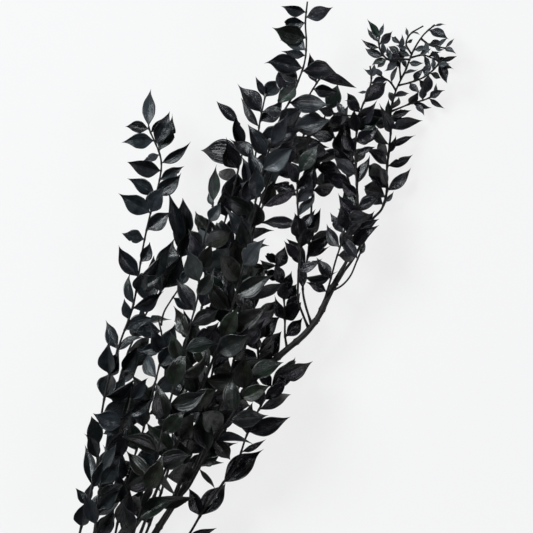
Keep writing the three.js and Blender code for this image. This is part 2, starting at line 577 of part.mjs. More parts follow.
/** Where a stem's rings go between two distances, so that its straight pieces follow its curve. */
function ringDistances(route, from, to) {
  const middle = (from + to) / 2;
  const drop = route.at(from).lerp(route.at(to), 0.5).distanceTo(route.at(middle));
  if (drop < CHORD_DROP && to - from < CHORD_LENGTH) return [from, to];
  return [...ringDistances(route, from, middle), ...ringDistances(route, middle, to).slice(1)];
}

/** A tapered stem between two distances along its route, with a flat of its section turned down. */
function stemSolid(route, from, to, sides) {
  const distances = ringDistances(route, from, to);
  const count = distances.length - 1;
  const points = [];
  for (const s of distances) {
    const along = route.tangent(s);
    const side = new THREE.Vector3().crossVectors(along, new THREE.Vector3(0, 0, 1)).normalize();
    const up = new THREE.Vector3().crossVectors(side, along);
    for (let k = 0; k < sides; k++) {
      const angle = 2 * Math.PI * (k + 0.5) / sides - Math.PI / 2;
      points.push(route.at(s).addScaledVector(side, route.radiusAt(s) * Math.cos(angle))
        .addScaledVector(up, route.radiusAt(s) * Math.sin(angle)));
    }
  }
  const faces = [];
  for (let i = 0; i < count; i++) {
    for (let k = 0; k < sides; k++) {
      const [a, b] = [i * sides + k, i * sides + (k + 1) % sides];
      faces.push([a, b + sides, b], [a, a + sides, b + sides]);
    }
  }
  for (let k = 1; k < sides - 1; k++) {
    const end = count * sides;
    faces.push([0, k, k + 1], [end, end + k + 1, end + k]);
  }
  return solidOf(points, faces);
}

// ---- Growth -------------------------------------------------------------------------------------

/** Where a placed blade leaves its stem, its direction and length on the sheet, and its shape. */
function placedTarget(route, [baseX, baseY, tipX, tipY, width = 1, bend = 0]) {
  const distance = Math.max(route.nearest(baseX, baseY), route.stub + BARE_START);
  const reach = toFrame([tipX, tipY, 0]).sub(route.at(distance));
  const [heading, span] = [Math.atan2(reach.y, reach.x), Math.hypot(reach.x, reach.y)];
  return { distance, heading, span, width, bend };
}

/** The blade turned and scaled so that, seen from above, its tip has the given heading and span. */
function aimed(pose, heading, span) {
  const reach = new Blade(pose).raw(1, 0, 0).sub(pose.root);
  const turn = heading - Math.atan2(reach.y, reach.x);
  const scale = span / Math.hypot(reach.x, reach.y);
  return new Blade({ ...pose, heading: pose.heading + turn, length: pose.length * scale });
}

/** The places of a shoot's remaining blades: left and right by turns, and at times over the stem. */
function ruledTargets(route, stretches, draw) {
  const targets = [];
  for (const { from, to, length, step, side, spread = [0.5, 1.15], over = 0.3 } of stretches) {
    let turn = draw() < 0.5 ? -1 : 1;
    let distance = Math.max(from * route.length, route.stub + BARE_START);
    while (distance <= to * route.length) {
      const share = (distance / route.length - from) / Math.max(0.01, to - from);
      const along = route.tangent(distance);
      const isOver = draw() < over;
      const swing = isOver ? between(draw, 0, 0.45) : between(draw, ...spread);
      targets.push({
        distance, heading: Math.atan2(along.y, along.x) + (side ?? turn) * swing, isOver,
        length: mix(length[0], length[1], share) * between(draw, 0.86, 1.12),
      });
      distance += mix(step[0], step[1], share) * between(draw, 0.8, 1.2);
      turn = -turn;
    }
  }
  return targets;
}

/** The least shaded of the first clear poses of a blade, or null where it finds none. */
function growBlade(guard, route, stem, target, draw) {
  const choices = [];
  const isPlaced = target.length === undefined;
  const wanted = isPlaced ? 1 : CHOICES;
  for (let k = 0; k < TRIES && choices.length < wanted; k++) {
    const reach = Math.min(1, 0.4 + k / 16);
    const sign = target.isOver || draw() < 0.5 ? 1 : -1;
    const rise = target.isOver ? between(draw, 0.25, 0.7)
      : sign * between(draw, 0, isPlaced ? 0.5 : 0.8) * reach;
    const heading = target.heading + between(draw, -0.5, 0.5) * (isPlaced ? 0.05 : reach);
    const length = target.length ?? target.span;
    const along = route.tangent(target.distance);
    const turnsLeft = Math.sin(Math.atan2(along.y, along.x) - heading) > 0 ? 1 : -1;
    const sickle = turnsLeft * between(draw, 0, isPlaced ? 0.12 : 0.35) + (target.bend ?? 0);
    const pose = {
      root: route.at(target.distance), stemRadius: route.radiusAt(target.distance),
      heading: heading - 0.5 * sickle, rise, length,
      roll: between(draw, -1, 1) * (isPlaced ? 0.35 : draw() < 0.2 ? 1.2 : 0.5),
      bow: between(draw, -0.6, 0.25), sickle,
      twist: between(draw, -0.4, 0.4), fold: between(draw, 0.1, 0.4),
      width: isPlaced ? PLACED_WIDTH * target.width : between(draw, 0.88, 1.12),
    };
    const blade = isPlaced ? aimed(pose, heading, target.span) : new Blade(pose);
    const balls = blade.balls(stem);
    const rootReach = 0.35 * blade.length + 1.5;
    if (balls.every((ball) => guard.isClear(ball, stem, blade.root, rootReach))) {
      choices.push({ blade, balls, shade: guard.shade(balls) });
    }
  }
  if (choices.length === 0) return null;
  const best = choices.reduce((a, b) => (b.shade < a.shade ? b : a));
  best.balls.forEach((ball) => guard.add(ball));
  return best.blade;
}

/** Stems first, then the placed blades, then the ruled ones, so that each keeps clear of what was there. */
function growSpray() {
  const guard = new Guard();
  const grown = SHOOTS.map((shoot, index) => ({ shoot, index, route: new Route(shoot), blades: [] }));
  for (const { shoot, route } of grown.slice(1)) {
    if (shoot.name === shoot.node) route.stub = stubLength(route, grown[0].route);
  }
  for (const { route, index } of grown) {
    for (let s = 0; s <= route.length; s += 2.5) {
      guard.add({ at: route.at(s), r: route.radiusAt(s) + STEM_GUARD, stem: index });
    }
  }
  for (const kind of ['placed', 'ruled']) {
    for (const { shoot, index, route, blades } of grown) {
      const targets = kind === 'placed' ? (shoot.placed ?? []).map((p) => placedTarget(route, p))
        : ruledTargets(route, [shoot.blades ?? []].flat(), drawsFrom(1000 * (index + 1)));
      targets.forEach((target, i) => {
        const bladeDraw = drawsFrom(100003 * (index + 1) + 17 * i + kind.length);
        const blade = growBlade(guard, route, index, target, bladeDraw);
        if (blade) blades.push(blade);
      });
    }
  }
  return grown;
}

// ---- Assembly -----------------------------------------------------------------------------------

const grown = growSpray();
const solids = new Map();
function addTo(node, solid) {
  if (!solids.has(node)) solids.set(node, []);
  solids.get(node).push(solid);
}
for (const { shoot, route, blades } of grown) {
  const sides = shoot.name === 'stalk' ? STALK_SIDES : SHOOT_SIDES;
  if (route.stub > 0) addTo('stalk', stemSolid(route, 0, route.stub, sides));
  addTo(shoot.node, stemSolid(route, route.stub > 0 ? route.stub + SEAT_GAP : 0, route.length, sides));
  blades.forEach((blade) => addTo(shoot.node, blade.solid()));
}

const dyedStalk = new THREE.MeshStandardMaterial({ color: 0x1b1a1a, roughness: 0.7, metalness: 0 });
const dyedFoliage = new THREE.MeshStandardMaterial({ color: 0x1c2122, roughness: 0.5, metalness: 0 });

const spray = new THREE.Group();
for (const [node, parts] of solids) {
  const whole = wasm.Manifold.union(parts).asOriginal().simplify(MERGE_TOLERANCE);
  const mesh = (node === 'stalk' ? whole.trimByPlane([0, 0, 1], 0) : whole).getMesh();
  const geometry = new THREE.BufferGeometry();
  geometry.setAttribute('position', new THREE.BufferAttribute(mesh.vertProperties, 3));
  geometry.setIndex(new THREE.BufferAttribute(mesh.triVerts, 1));
  const piece = new THREE.Mesh(geometry, node === 'stalk' ? dyedStalk : dyedFoliage);
  piece.name = node;
  spray.add(piece);
}

export default spray;
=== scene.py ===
"""A black-dyed, dried ruscus stem on a pale surface: its stalk, its leafy shoots and the studio.

Some blades are placed one by one, and the others grow along the stems by one rule. Routes are drawn
on a sheet seen from above, x to the right and y down it towards the cut end, with z up from the
surface, in millimetres. The frame's origin lies under the stalk's foot, with +Y towards the tips
and +Z up, and the meshes are in metres.
"""

import logging
import math
from collections.abc import Callable, Iterator, Mapping, Sequence
from dataclasses import dataclass, field, replace
from enum import Enum, IntEnum

import bpy
import numpy as np
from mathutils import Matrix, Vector

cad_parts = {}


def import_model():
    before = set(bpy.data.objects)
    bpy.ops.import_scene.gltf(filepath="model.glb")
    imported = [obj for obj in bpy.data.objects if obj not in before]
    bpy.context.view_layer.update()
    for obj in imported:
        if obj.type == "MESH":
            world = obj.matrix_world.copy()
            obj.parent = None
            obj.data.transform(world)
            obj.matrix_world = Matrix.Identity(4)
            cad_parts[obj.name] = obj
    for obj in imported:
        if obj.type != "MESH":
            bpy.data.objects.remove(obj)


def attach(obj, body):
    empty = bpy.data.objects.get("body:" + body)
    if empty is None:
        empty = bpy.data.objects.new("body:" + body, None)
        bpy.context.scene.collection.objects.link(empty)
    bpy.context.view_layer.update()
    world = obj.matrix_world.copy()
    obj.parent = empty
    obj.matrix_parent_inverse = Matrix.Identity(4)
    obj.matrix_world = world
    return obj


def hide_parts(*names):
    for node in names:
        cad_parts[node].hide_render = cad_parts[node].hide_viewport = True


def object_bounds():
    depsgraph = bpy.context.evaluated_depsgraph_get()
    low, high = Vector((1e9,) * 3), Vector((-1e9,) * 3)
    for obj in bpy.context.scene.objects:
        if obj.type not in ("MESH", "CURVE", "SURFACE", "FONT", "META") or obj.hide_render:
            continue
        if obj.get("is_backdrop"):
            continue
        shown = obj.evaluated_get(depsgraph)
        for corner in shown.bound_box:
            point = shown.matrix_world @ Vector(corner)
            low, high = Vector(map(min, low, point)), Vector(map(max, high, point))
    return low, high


LOG = logging.getLogger("ruscus")
METRES = 0.001                  # a millimetre
FOOT_ON_SHEET = (70.0, 720.0)   # the frame's origin on the sheet

Array = np.ndarray
Range = tuple[float, float]
SheetPoint = tuple[float, float, float]
Colour = tuple[float, float, float, float]
Socket = bpy.types.NodeSocket
Input = object                  # what a node's input takes: a number, a colour, a Value or a socket


# ---- Growth constants, in millimetres and radians ----

UP = np.array([0.0, 0.0, 1.0])
SPAN_DIVISIONS = 8          # points on each span of a route
TANGENT_REACH = 1.5         # half of the chord that gives a route's direction
STUB = 9                    # least length of a shoot that belongs to the stalk
FORK_CLEARANCE = 0.7        # what the rest of the shoot keeps from the stalk
BARE_START = 3              # length above the stub that carries no blades
BLADE_WIDTH_SHARE = 0.41    # full width over length
PLACED_WIDTH = 1.08         # width of a placed blade whose width share is 1
KEEL_DEPTH = 0.8            # what a blade keeps under its midrib from the surface
FLOOR_GAP = 0.02            # least height of the fine forms' points over the surface
PROFILE_RISE = 0.9          # exponents of the blade's outline
PROFILE_FALL = 1.25
WIDEST = PROFILE_RISE / (PROFILE_RISE + PROFILE_FALL)
PROFILE_TOP = WIDEST ** PROFILE_RISE * (1 - WIDEST) ** PROFILE_FALL
TRIES = 40                  # poses that a blade tries before it is left out
CHOICES = 4                 # clear poses that a ruled blade chooses from
SHADE_CELL = 4              # cell of the plan in which shade is counted
STEM_GUARD = 0.7            # clear distance kept round a stem
STEM_GUARD_STEP = 2.5       # spacing of a stem's guard balls
BLADE_GUARD_SHARE = 0.045   # radius of a blade's guard balls, as a share of its length,
BLADE_GUARD = 0.3           # and what is added to it
ROOT_REACH_SHARE = 0.35     # where a blade may meet its own stem, as a share of its length,
ROOT_REACH = 1.5            # and what is added to it
LENGTHS = (0.86, 1.12)      # ruled blades' lengths, as shares of their stretch's
STEPS = (0.8, 1.2)          # their spacing, in the same way
WIDTHS = (0.88, 1.12)       # their widths, as shares of the usual one
OVER_SWING = (0.0, 0.45)    # angle to the stem of the blades that lie over it
OVER_RISE = (0.25, 0.7)     # and how steeply they rise
FIRST_REACH = 0.4           # how freely the first pose is drawn, of 1
REACH_TRIES = 16            # tries over which that grows by 1
BOW = (-0.6, 0.25)          # ranges of a blade's bow, twist and fold
TWIST = (-0.4, 0.4)
FOLD = (0.1, 0.4)
TURNED_SHARE = 0.2          # ruled blades that may turn their face further
TURNED_ROLL = 1.2           # and how far
PLACED_SWING = 0.05         # how far a placed blade's heading may stray

RULE_SEED = 1000            # seeds of a stem's rule
POSE_SEED = (100003, 17)    # of a blade's pose, by stem and blade
SHAPE_SEED = (7919, 131)    # of a blade's shape, by stem and blade
STEM_SEED = 4001            # of a stem's shape
STALK_SEED = 77             # and of the stalk's


# ---- The shoots ----


class Dye(Enum):
    """How the black dye took on a shoot: the place of its blades' colour on the dye ramp."""

    SOOT = 0.06
    ASH = 0.25
    SLATE = 0.5
    OLIVE = 0.75


@dataclass(frozen=True)
class Stretch:
    """Part of a route that carries blades by the rule.

    start and end are shares of the route's length. length and step hold the blades' length and
    spacing at both ends. side is 1 for left and -1 for right, or None for both by turns. spread is
    the range of the angle to the stem, and over the share of the blades that lie over the stem.
    """

    start: float
    end: float
    length: Range
    step: Range
    side: int | None = None
    spread: Range = (0.5, 1.15)
    over: float = 0.3


@dataclass(frozen=True)
class ShootPlan:
    """A stem's route on the sheet and the blades it carries.

    radius is at the fork and at the tip. node is the shoot that this one belongs to, where that
    isn't itself. Each placed blade is given by its base and tip on the sheet, x and y, and where
    they differ from 1 and 0 by its share of the common width and how far it bends to its left.
    """

    name: str
    radius: Range
    dye: Dye = Dye.SOOT
    node: str | None = None
    route: Sequence[SheetPoint] = ()
    stretches: Sequence[Stretch] = ()
    placed: Sequence[tuple[float, ...]] = ()


SHOOTS = (
    ShootPlan("stalk", (3.2, 2.7), route=(
        (66, 738, 2.45), (70, 720, 2.45), (77, 694, 4.5), (90, 655, 11), (108, 612, 19),
        (130, 572, 26), (154, 535, 31), (180, 495, 35), (206, 452, 38), (231, 412, 40),
        (256, 377, 42), (284, 352, 43), (304, 335, 44), (318, 317.5, 44), (327, 299, 44),
        (335, 283.5, 44), (343, 270, 44),
    )),
    ShootPlan("left_outer_shoot", (1.5, 0.8), Dye.SLATE, route=(
        (74, 704, 3.5), (72, 680, 10), (71, 650, 20), (72, 610, 34), (75, 565, 44), (80, 533, 50),
        (92, 490, 54), (98, 462, 56), (100, 430, 56), (107, 388, 56), (120, 344, 56),
        (134, 304, 56), (143, 250, 56), (151, 213, 56), (160, 180, 56), (161, 158, 56),
        (151, 133, 56), (149, 127, 56),
    ), stretches=(
        Stretch(0.31, 0.72, (36, 32), (22, 20), side=-1, spread=(0.3, 0.9)),
        Stretch(0.72, 0.76, (30, 30), (12, 12), side=-1, spread=(0.3, 0.8)),
    ), placed=(
        (149, 127, 149, 88, 0.62), (149.8, 129.6, 126, 125, 0.95), (153.5, 142, 123, 140, 0.95),
        (153, 133, 163, 117, 0.9), (157, 146, 170, 113, 0.85), (160, 151, 175, 116, 0.8),
        (160, 155, 143, 161, 0.9), (161, 170, 127, 163, 0.95), (162, 164, 191, 142, 0.6, 0.3),
        (161, 181, 184, 165, 0.9), (156.5, 194, 129, 177, 0.85), (155.5, 197, 183, 175, 0.9),
        (150.5, 212, 164, 185, 1.1), (150.5, 211, 118, 194, 0.95), (148, 230, 173, 211, 1),
        (143, 237, 122, 235, 1.2), (138.5, 275, 116, 248, 0.85), (141, 265, 152, 243, 1.1),
        (134, 303, 129, 271, 0.6, -0.4), (131, 322, 124, 299, 0.85),
        (118, 352, 109, 318, 0.8, -0.4), (108, 402, 112, 371, 1.1), (114, 376, 121, 350, 1.1),
        (98, 458, 90, 430, 0.7), (95, 487, 86, 446, 0.55), (88, 508, 90, 484, 0.6),
        (84, 507, 77, 487, 0.9),
    )),
    ShootPlan("left_inner_shoot", (1.5, 0.8), Dye.SLATE, route=(
        (81, 682, 6), (84, 645, 10), (87, 600, 13), (90, 560, 14), (93, 533, 14), (98, 495, 13),
        (104, 455, 12), (110, 415, 12), (120, 374, 12), (130, 345, 12), (148, 309, 13),
        (166, 283, 14), (178, 263, 15), (185, 242, 16),
    ), stretches=(
        Stretch(0.32, 0.62, (37, 36), (16, 15), side=-1, spread=(0.3, 1)),
        Stretch(0.62, 0.8, (36, 34), (13, 12), side=-1, spread=(0.1, 0.9)),
    ), placed=(
        (186, 242, 183, 197, 0.85), (184, 246, 168, 189, 0.5), (181, 256, 171, 207, 0.5),
        (181, 258, 190, 227, 0.9), (165, 284, 170, 238, 0.9), (158, 293, 150, 256),
        (151, 304, 141, 262, 1.05), (163, 288, 183, 255, 1.05), (173, 272, 165, 287),
    )),
    ShootPlan("left_fill_shoot", (1.4, 0.8), Dye.SLATE, route=(
        (92, 652, 12), (100, 610, 32), (108, 570, 48), (116, 533, 60), (124, 495, 69),
        (134, 460, 75), (144, 430, 79), (152, 400, 81), (158, 375, 82), (163, 352, 82),
        (163, 335, 82), (159, 316, 82),
    ), stretches=(Stretch(0.36, 0.9, (40, 34), (13, 12)),), placed=(
        (160, 331, 134, 331, 1.1), (162, 345, 140, 351), (163, 350, 177, 323),
        (162, 368, 178, 341, 1.1),
    )),
    ShootPlan("left_twig", (0.9, 0.75), Dye.SLATE, node="left_fill_shoot", route=(
        (162, 325, 82), (165, 312, 83), (172, 300, 84), (180, 288, 85), (184, 279, 86),
    ), placed=(
        (174, 298, 197, 311, 0.75), (181, 286, 192, 267, 0.9),
    )),
    ShootPlan("centre_front_shoot", (1.5, 0.8), Dye.OLIVE, route=(
        (99, 633, 15), (112, 600, 42), (124, 565, 62), (134, 533, 77), (146, 495, 88),
        (156, 460, 94), (165, 425, 97), (174, 390, 98), (184, 355, 98), (192, 322, 97),
        (199, 295, 96), (201, 266, 95), (205, 240, 94), (212, 215, 93), (214, 203, 93),
    ), stretches=(Stretch(0.27, 0.93, (43, 34), (15, 13)),), placed=(
        (213, 207, 208, 194), (214, 203, 216, 166, 0.62), (207, 229, 195, 212),
        (201, 268, 192, 231, 0.8), (202, 268, 236, 247), (204, 248, 188, 230), (209, 222, 222, 203),
    )),
    ShootPlan("centre_back_shoot", (1.5, 0.8), route=(
        (104, 620, 17), (112, 604, 12), (124, 580, 12), (136, 555, 13), (146, 533, 15),
        (160, 495, 18), (172, 455, 20), (181, 415, 22), (189, 375, 24), (196, 335, 25),
        (203, 300, 26), (212, 265, 26), (222, 230, 26), (232, 195, 26), (239, 165, 26),
        (243, 145, 26), (239, 122, 26),
    ), stretches=(Stretch(0.2, 0.9, (43, 36), (18, 14)),), placed=(
        (241, 151, 199, 150, 1.1), (239, 170, 226, 139, 1.1), (236, 170, 228, 212, 1.1),
        (246, 147, 232, 116, 0.7), (239, 122, 215, 100, 0.65),
    )),
    ShootPlan("centre_tall_shoot", (1.5, 0.8), Dye.ASH, route=(
        (126, 579, 25), (139, 560, 34), (150, 545, 41), (162, 525, 47), (176, 495, 53),
        (190, 455, 57), (202, 415, 59), (212, 375, 60), (220, 335, 60), (226, 300, 60),
        (231, 265, 60), (238, 230, 60), (246, 198, 60), (253, 170, 60), (257, 145, 60),
        (260, 122, 60), (265, 98, 60),
    ), stretches=(Stretch(0.2, 0.9, (43, 36), (15, 13)),), placed=(
        (265, 99, 256, 77, 0.6), (264, 99, 283, 81, 1.25), (257, 112, 236, 86),
        (257, 128, 242, 97, 0.5), (260, 122, 284, 100), (258, 141, 303, 131, 0.9),
    )),
    ShootPlan("tall_front_shoot", (1.7, 0.8), Dye.OLIVE, route=(
        (112, 604, 20.5), (120, 582, 36), (130, 558, 50), (141, 532, 62), (150, 508, 70),
        (160, 482, 75), (172, 455, 78), (184, 428, 79), (194, 402, 80), (204, 382, 80),
        (213, 360, 80), (222, 338, 80), (232, 308, 79), (240, 280, 79), (247, 250, 79),
        (252, 225, 78), (256, 200, 77), (262, 175, 76), (270, 148, 76), (281, 118, 76),
        (290, 102, 76), (297, 85, 76), (304, 65, 76), (306, 45, 76), (305, 25, 76), (307, 4, 76),
    ), stretches=(
        Stretch(0.2, 0.61, (44, 42), (16, 15)), Stretch(0.62, 0.71, (40, 40), (14, 12), side=1),
        Stretch(0.71, 0.81, (40, 38), (12, 11)),
    ), placed=(
        (304, 15.5, 281, 8, 0.9), (306, 20, 333, 10, 0.95), (305, 25.5, 279, 25, 1.2),
        (305, 39, 272, 31, 1.15), (305, 52, 281, 39, 1.1), (304, 57, 282, 53, 0.7),
        (302, 69, 265, 60), (299, 82, 278, 74, 1.1), (293, 100, 286, 60, 0.9),
        (303, 74, 339, 72, 0.98), (296, 88, 275, 108), (289, 104, 331, 108, 0.9),
        (283, 114, 261, 112),
    )),
    ShootPlan("centre_low_shoot", (1.4, 0.8), Dye.OLIVE, route=(
        (165, 518, 33), (180, 480, 21), (195, 445, 15), (208, 410, 12), (218, 375, 11),
        (226, 335, 10), (233, 290, 10), (240, 262, 10), (246, 245, 10), (253, 228, 10),
        (260, 212, 10), (266, 198, 11), (273, 185, 12), (281, 168, 13), (291, 150, 14),
        (302, 137, 15), (312, 122, 16),
    ), stretches=(
        Stretch(0.12, 0.66, (42, 38), (18, 16)), Stretch(0.66, 0.82, (34, 34), (16, 14), side=1),
        Stretch(0.83, 0.97, (36, 34), (12, 10)),
    )),
    ShootPlan("crown_right_shoot", (1.5, 0.8), route=(
        (190, 478, 36), (206, 440, 54), (222, 400, 66), (234, 360, 70), (242, 320, 70),
        (247, 285, 69), (251, 250, 68), (257, 215, 67), (266, 188, 66), (278, 160, 66),
        (289, 137, 64), (299, 115, 62), (309, 96, 60), (319, 80, 60),
    ), stretches=(
        Stretch(0.14, 0.5, (43, 40), (15, 13)), Stretch(0.56, 0.76, (38, 38), (16, 14), side=1),
        Stretch(0.77, 0.92, (38, 36), (11, 10)),
    ), placed=(
        (317, 84, 309, 54, 0.75, -0.3), (319, 80, 357, 91, 0.72, -0.9), (313, 90, 338, 93),
        (319, 80, 327, 62, 0.6), (230, 374, 257, 353, 0.9),
    )),
    ShootPlan("inner_right_shoot", (1.2, 0.8), route=(
        (311, 323, 44), (305, 303, 31), (303, 287, 23), (306, 268, 17), (309, 250, 13),
        (311, 228, 11), (312, 205, 10), (314, 180, 10), (318, 152, 10), (322, 127, 11),
        (329, 105, 13), (334, 94, 14),
    ), stretches=(
        Stretch(0.22, 0.44, (34, 32), (11, 11)), Stretch(0.58, 0.9, (34, 32), (11, 10)),
    ), placed=(
        (328, 110, 341, 81, 0.9), (316, 167, 346, 173, 1.1), (313, 190, 338, 184, 1.1),
        (304, 290, 302, 258, 0.6), (310, 247, 332, 227, 1.05), (309, 257, 331, 246, 0.5),
    )),
    ShootPlan("inner_front_shoot", (1.2, 0.8), route=(
        (308, 327, 44), (303, 315, 52), (298, 300, 59), (298, 280, 63), (299, 260, 65),
        (300, 240, 66), (298, 215, 66), (297, 190, 66), (300, 165, 65), (306, 145, 63),
        (312, 128, 62),
    ), stretches=(
        Stretch(0.3, 0.42, (26, 26), (12, 12)), Stretch(0.43, 0.7, (28, 28), (12, 11), side=-1),
        Stretch(0.72, 1, (32, 32), (11, 10)),
    ), placed=(
        (299, 226, 259, 222, 0.6), (297, 196, 271, 184), (296.5, 191, 262, 208, 0.55),
        (299, 240, 297, 212, 1.1),
    )),
    ShootPlan("arc_left_shoot", (1.1, 0.8), route=(
        (287, 348, 43), (285, 335, 36), (285, 318, 30), (284, 300, 26), (281, 282, 24),
        (277, 264, 23),
    ), stretches=(Stretch(0.35, 1, (28, 22), (10, 9)),), placed=(
        (286, 336, 304, 318, 0.95), (285, 320, 302, 301, 1.15), (284, 299, 298, 284, 1.1),
        (281, 280, 264, 270, 1.1), (278, 268, 286, 246, 1.1), (277, 265, 262, 250, 0.9),
    )),
    ShootPlan("arc_low_shoot", (1.2, 0.8), route=(
        (258, 375, 42), (258, 350, 33), (256, 322, 28), (253, 296, 26), (252, 270, 26),
    ), stretches=(Stretch(0.14, 1, (34, 30), (10, 10)),), placed=(
        (258, 354, 282, 332, 1.25), (257, 336, 281, 316, 1.25), (258, 364, 275, 348, 1.2),
        (258, 364, 239, 348, 1.1),
    )),
    ShootPlan("arc_inner_shoot", (1, 0.8), route=(
        (324, 302, 44), (330, 281, 55), (335, 262, 60), (340, 246, 62), (344, 230, 63),
        (347, 214, 63),
    ), stretches=(Stretch(0.55, 1, (28, 26), (10, 9)),), placed=(
        (331, 278, 316, 258), (325, 293, 306, 281, 0.8), (345, 234, 330, 212, 0.7),
    )),
    ShootPlan("right_inner_shoot", (1.5, 0.8), route=(
        (342, 270, 44), (350, 254, 45), (356, 235, 46), (358, 215, 47), (357, 192, 48),
        (356, 170, 48), (355, 150, 48), (357, 130, 48), (361, 110, 48), (366, 97, 48),
        (371, 82, 48), (370, 66, 48),
    ), stretches=(Stretch(0.08, 0.8, (30, 28), (10.5, 9.5)),), placed=(
        (361, 111, 346, 98, 1.1), (358, 129, 381, 116, 1.05), (358, 140, 380, 137, 0.9),
        (356, 156, 375, 146, 0.6), (364, 104, 389, 80, 0.85), (368, 92, 358, 93, 0.7),
        (371, 79, 375, 64), (358, 211, 379, 190, 0.8), (358, 212, 342, 188, 0.8),
        (357, 226, 338, 208, 0.9), (357, 230, 379, 218, 0.75, 0.3),
    )),
    ShootPlan("right_side", (1, 0.8), node="right_inner_shoot", route=(
        (357, 205, 48), (350, 184, 41), (343, 163, 36), (337, 144, 33), (331, 127, 32),
    ), stretches=(Stretch(0.25, 1, (30, 27), (10, 9)),)),
    ShootPlan("right_twig", (0.9, 0.75), node="right_inner_shoot", route=(
        (360, 116, 48), (348, 116, 53), (335, 114, 56), (326, 117, 57),
    ), stretches=(Stretch(0.5, 1, (22, 20), (9, 8)),), placed=(
        (343, 116, 336, 102, 1.15),
    )),
    ShootPlan("right_outer_shoot", (1.4, 0.8), Dye.ASH, route=(
        (335, 281, 44), (345, 270, 37), (354, 258, 31), (362, 243, 26), (367, 229, 22),
        (374, 218, 19), (383, 208, 16), (388, 190, 14), (388, 170, 13), (390, 150, 13),
        (392, 130, 13), (392, 110, 15), (396, 92, 17), (401, 80, 18), (407, 68, 19), (414, 50, 20),
        (424, 34, 21), (436, 23, 22),
    ), stretches=(
        Stretch(0.36, 0.62, (30, 28), (11, 10), side=1), Stretch(0.62, 0.9, (20, 15), (7, 6.5)),
    ), placed=(
        (389, 165, 416, 153, 0.6, 0.4), (389, 190, 413, 167, 0.66, 0.2), (388, 204, 395, 191, 0.8),
        (391, 152, 399, 134, 0.6), (392, 144, 417, 133, 0.5, 0.3), (392, 128, 424, 118, 0.75),
        (393, 116, 413, 108, 0.65), (392, 118, 362, 112), (388, 187, 370, 173, 0.8),
        (387, 205, 364, 189, 0.9), (431, 28, 450, 37, 0.9), (435, 25, 447, 22, 0.5),
    )),
    ShootPlan("tuft_low", (0.9, 0.75), Dye.ASH, node="right_outer_shoot", route=(
        (392, 110, 15), (402, 106, 12), (412, 102, 10), (426, 98, 9), (438, 93, 8),
    ), stretches=(Stretch(0.4, 1, (18, 15), (7.5, 7)),), placed=(
        (414, 102, 433, 108, 0.6), (430, 96, 446, 107, 0.6),
    )),
    ShootPlan("tuft_middle", (0.9, 0.75), Dye.ASH, node="right_outer_shoot", route=(
        (399, 84, 17), (412, 81, 23), (425, 76, 28), (435, 68, 32), (441, 60, 34),
    ), stretches=(Stretch(0.25, 1, (18, 15), (6, 5.5)),), placed=(
        (440, 62, 447, 83, 0.9), (439, 64, 455, 67, 0.5), (430, 73, 428, 95, 0.9),
    )),
    ShootPlan("tuft_left", (0.9, 0.75), Dye.ASH, node="right_outer_shoot", route=(
        (411, 58, 19), (403, 58, 26), (394, 60, 32), (387, 58, 36), (381, 51, 39), (379, 42, 40),
        (380, 34, 41),
    ), stretches=(Stretch(0.2, 0.65, (18, 16), (6, 6)),), placed=(
        (379, 38, 367, 19, 0.65), (380, 37, 384, 23, 0.7), (381, 44, 394, 30, 0.8),
        (379, 42, 366, 28, 0.65), (380, 48, 361, 40, 0.6), (384, 57, 364, 48, 0.7),
        (388, 58, 371, 63, 0.7),
    )),
    ShootPlan("tuft_inner", (0.9, 0.75), Dye.ASH, node="right_outer_shoot", route=(
        (397, 89, 17), (391, 81, 25), (384, 77, 30), (377, 72, 33),
    ), stretches=(Stretch(0.35, 1, (18, 16), (6, 6)),)),
    ShootPlan("tuft_back", (0.9, 0.75), Dye.ASH, node="right_outer_shoot", route=(
        (402, 78, 18), (401, 66, 12), (402, 53, 9), (401, 41, 8), (396, 34, 8),
    ), stretches=(Stretch(0.3, 0.9, (18, 14), (6, 5.5)),)),
    ShootPlan("tuft_top", (0.85, 0.75), Dye.ASH, node="right_outer_shoot", route=(
        (413, 53, 20), (407, 43, 26), (411, 33, 30), (424, 25, 32),
    ), stretches=(Stretch(0.2, 0.8, (11, 9), (7.5, 7)),)),
    ShootPlan("tuft_right", (0.85, 0.75), Dye.ASH, node="right_outer_shoot", route=(
        (412, 56, 20), (424, 53, 13), (434, 56, 10), (442, 60, 9),
    ), stretches=(Stretch(0.3, 1, (16, 13), (6, 5.5)),), placed=(
        (441, 59, 460, 54, 0.5), (436, 57, 452, 61),
    )),
    ShootPlan("tuft_far", (0.85, 0.75), Dye.ASH, node="right_outer_shoot", route=(
        (422, 37, 21), (431, 44, 26), (440, 46, 29), (449, 48, 31),
    ), stretches=(Stretch(0.2, 1, (16, 13), (5, 5)),), placed=((446, 47, 456, 37, 0.5),)),
    ShootPlan("arc_loop_shoot", (1, 0.8), route=(
        (329, 292, 44), (341, 286, 52), (350, 276, 58), (356, 262, 62), (361, 250, 64),
    ), placed=(
        (356, 259, 340, 235, 0.75), (359, 256, 365, 240, 0.7),
    )),
    ShootPlan("right_low_shoot", (1.5, 0.8), route=(
        (118, 593, 22), (131, 582, 20), (146, 573, 25), (162, 563, 33), (177, 550, 40),
        (190, 533, 44), (200, 516, 46), (212, 498, 48), (225, 480, 49), (238, 460, 50),
        (246, 437, 50), (255, 417, 50), (263, 402, 50), (273, 385, 50), (280, 373, 50),
    ), placed=(
        (279, 376, 313, 361), (281, 374, 298, 358, 0.6), (270, 389, 296.5, 361, 0.8),
        (272, 386, 256, 367, 0.9), (264, 400, 288, 379, 0.78), (261, 405, 256, 376, 0.95),
        (248, 434, 251, 402, 0.9), (260, 409, 293, 391.5, 0.5, 0.5),
        (249.5, 431, 291, 417, 0.78, 0.3), (242, 452, 266, 439, 0.5, 0.5),
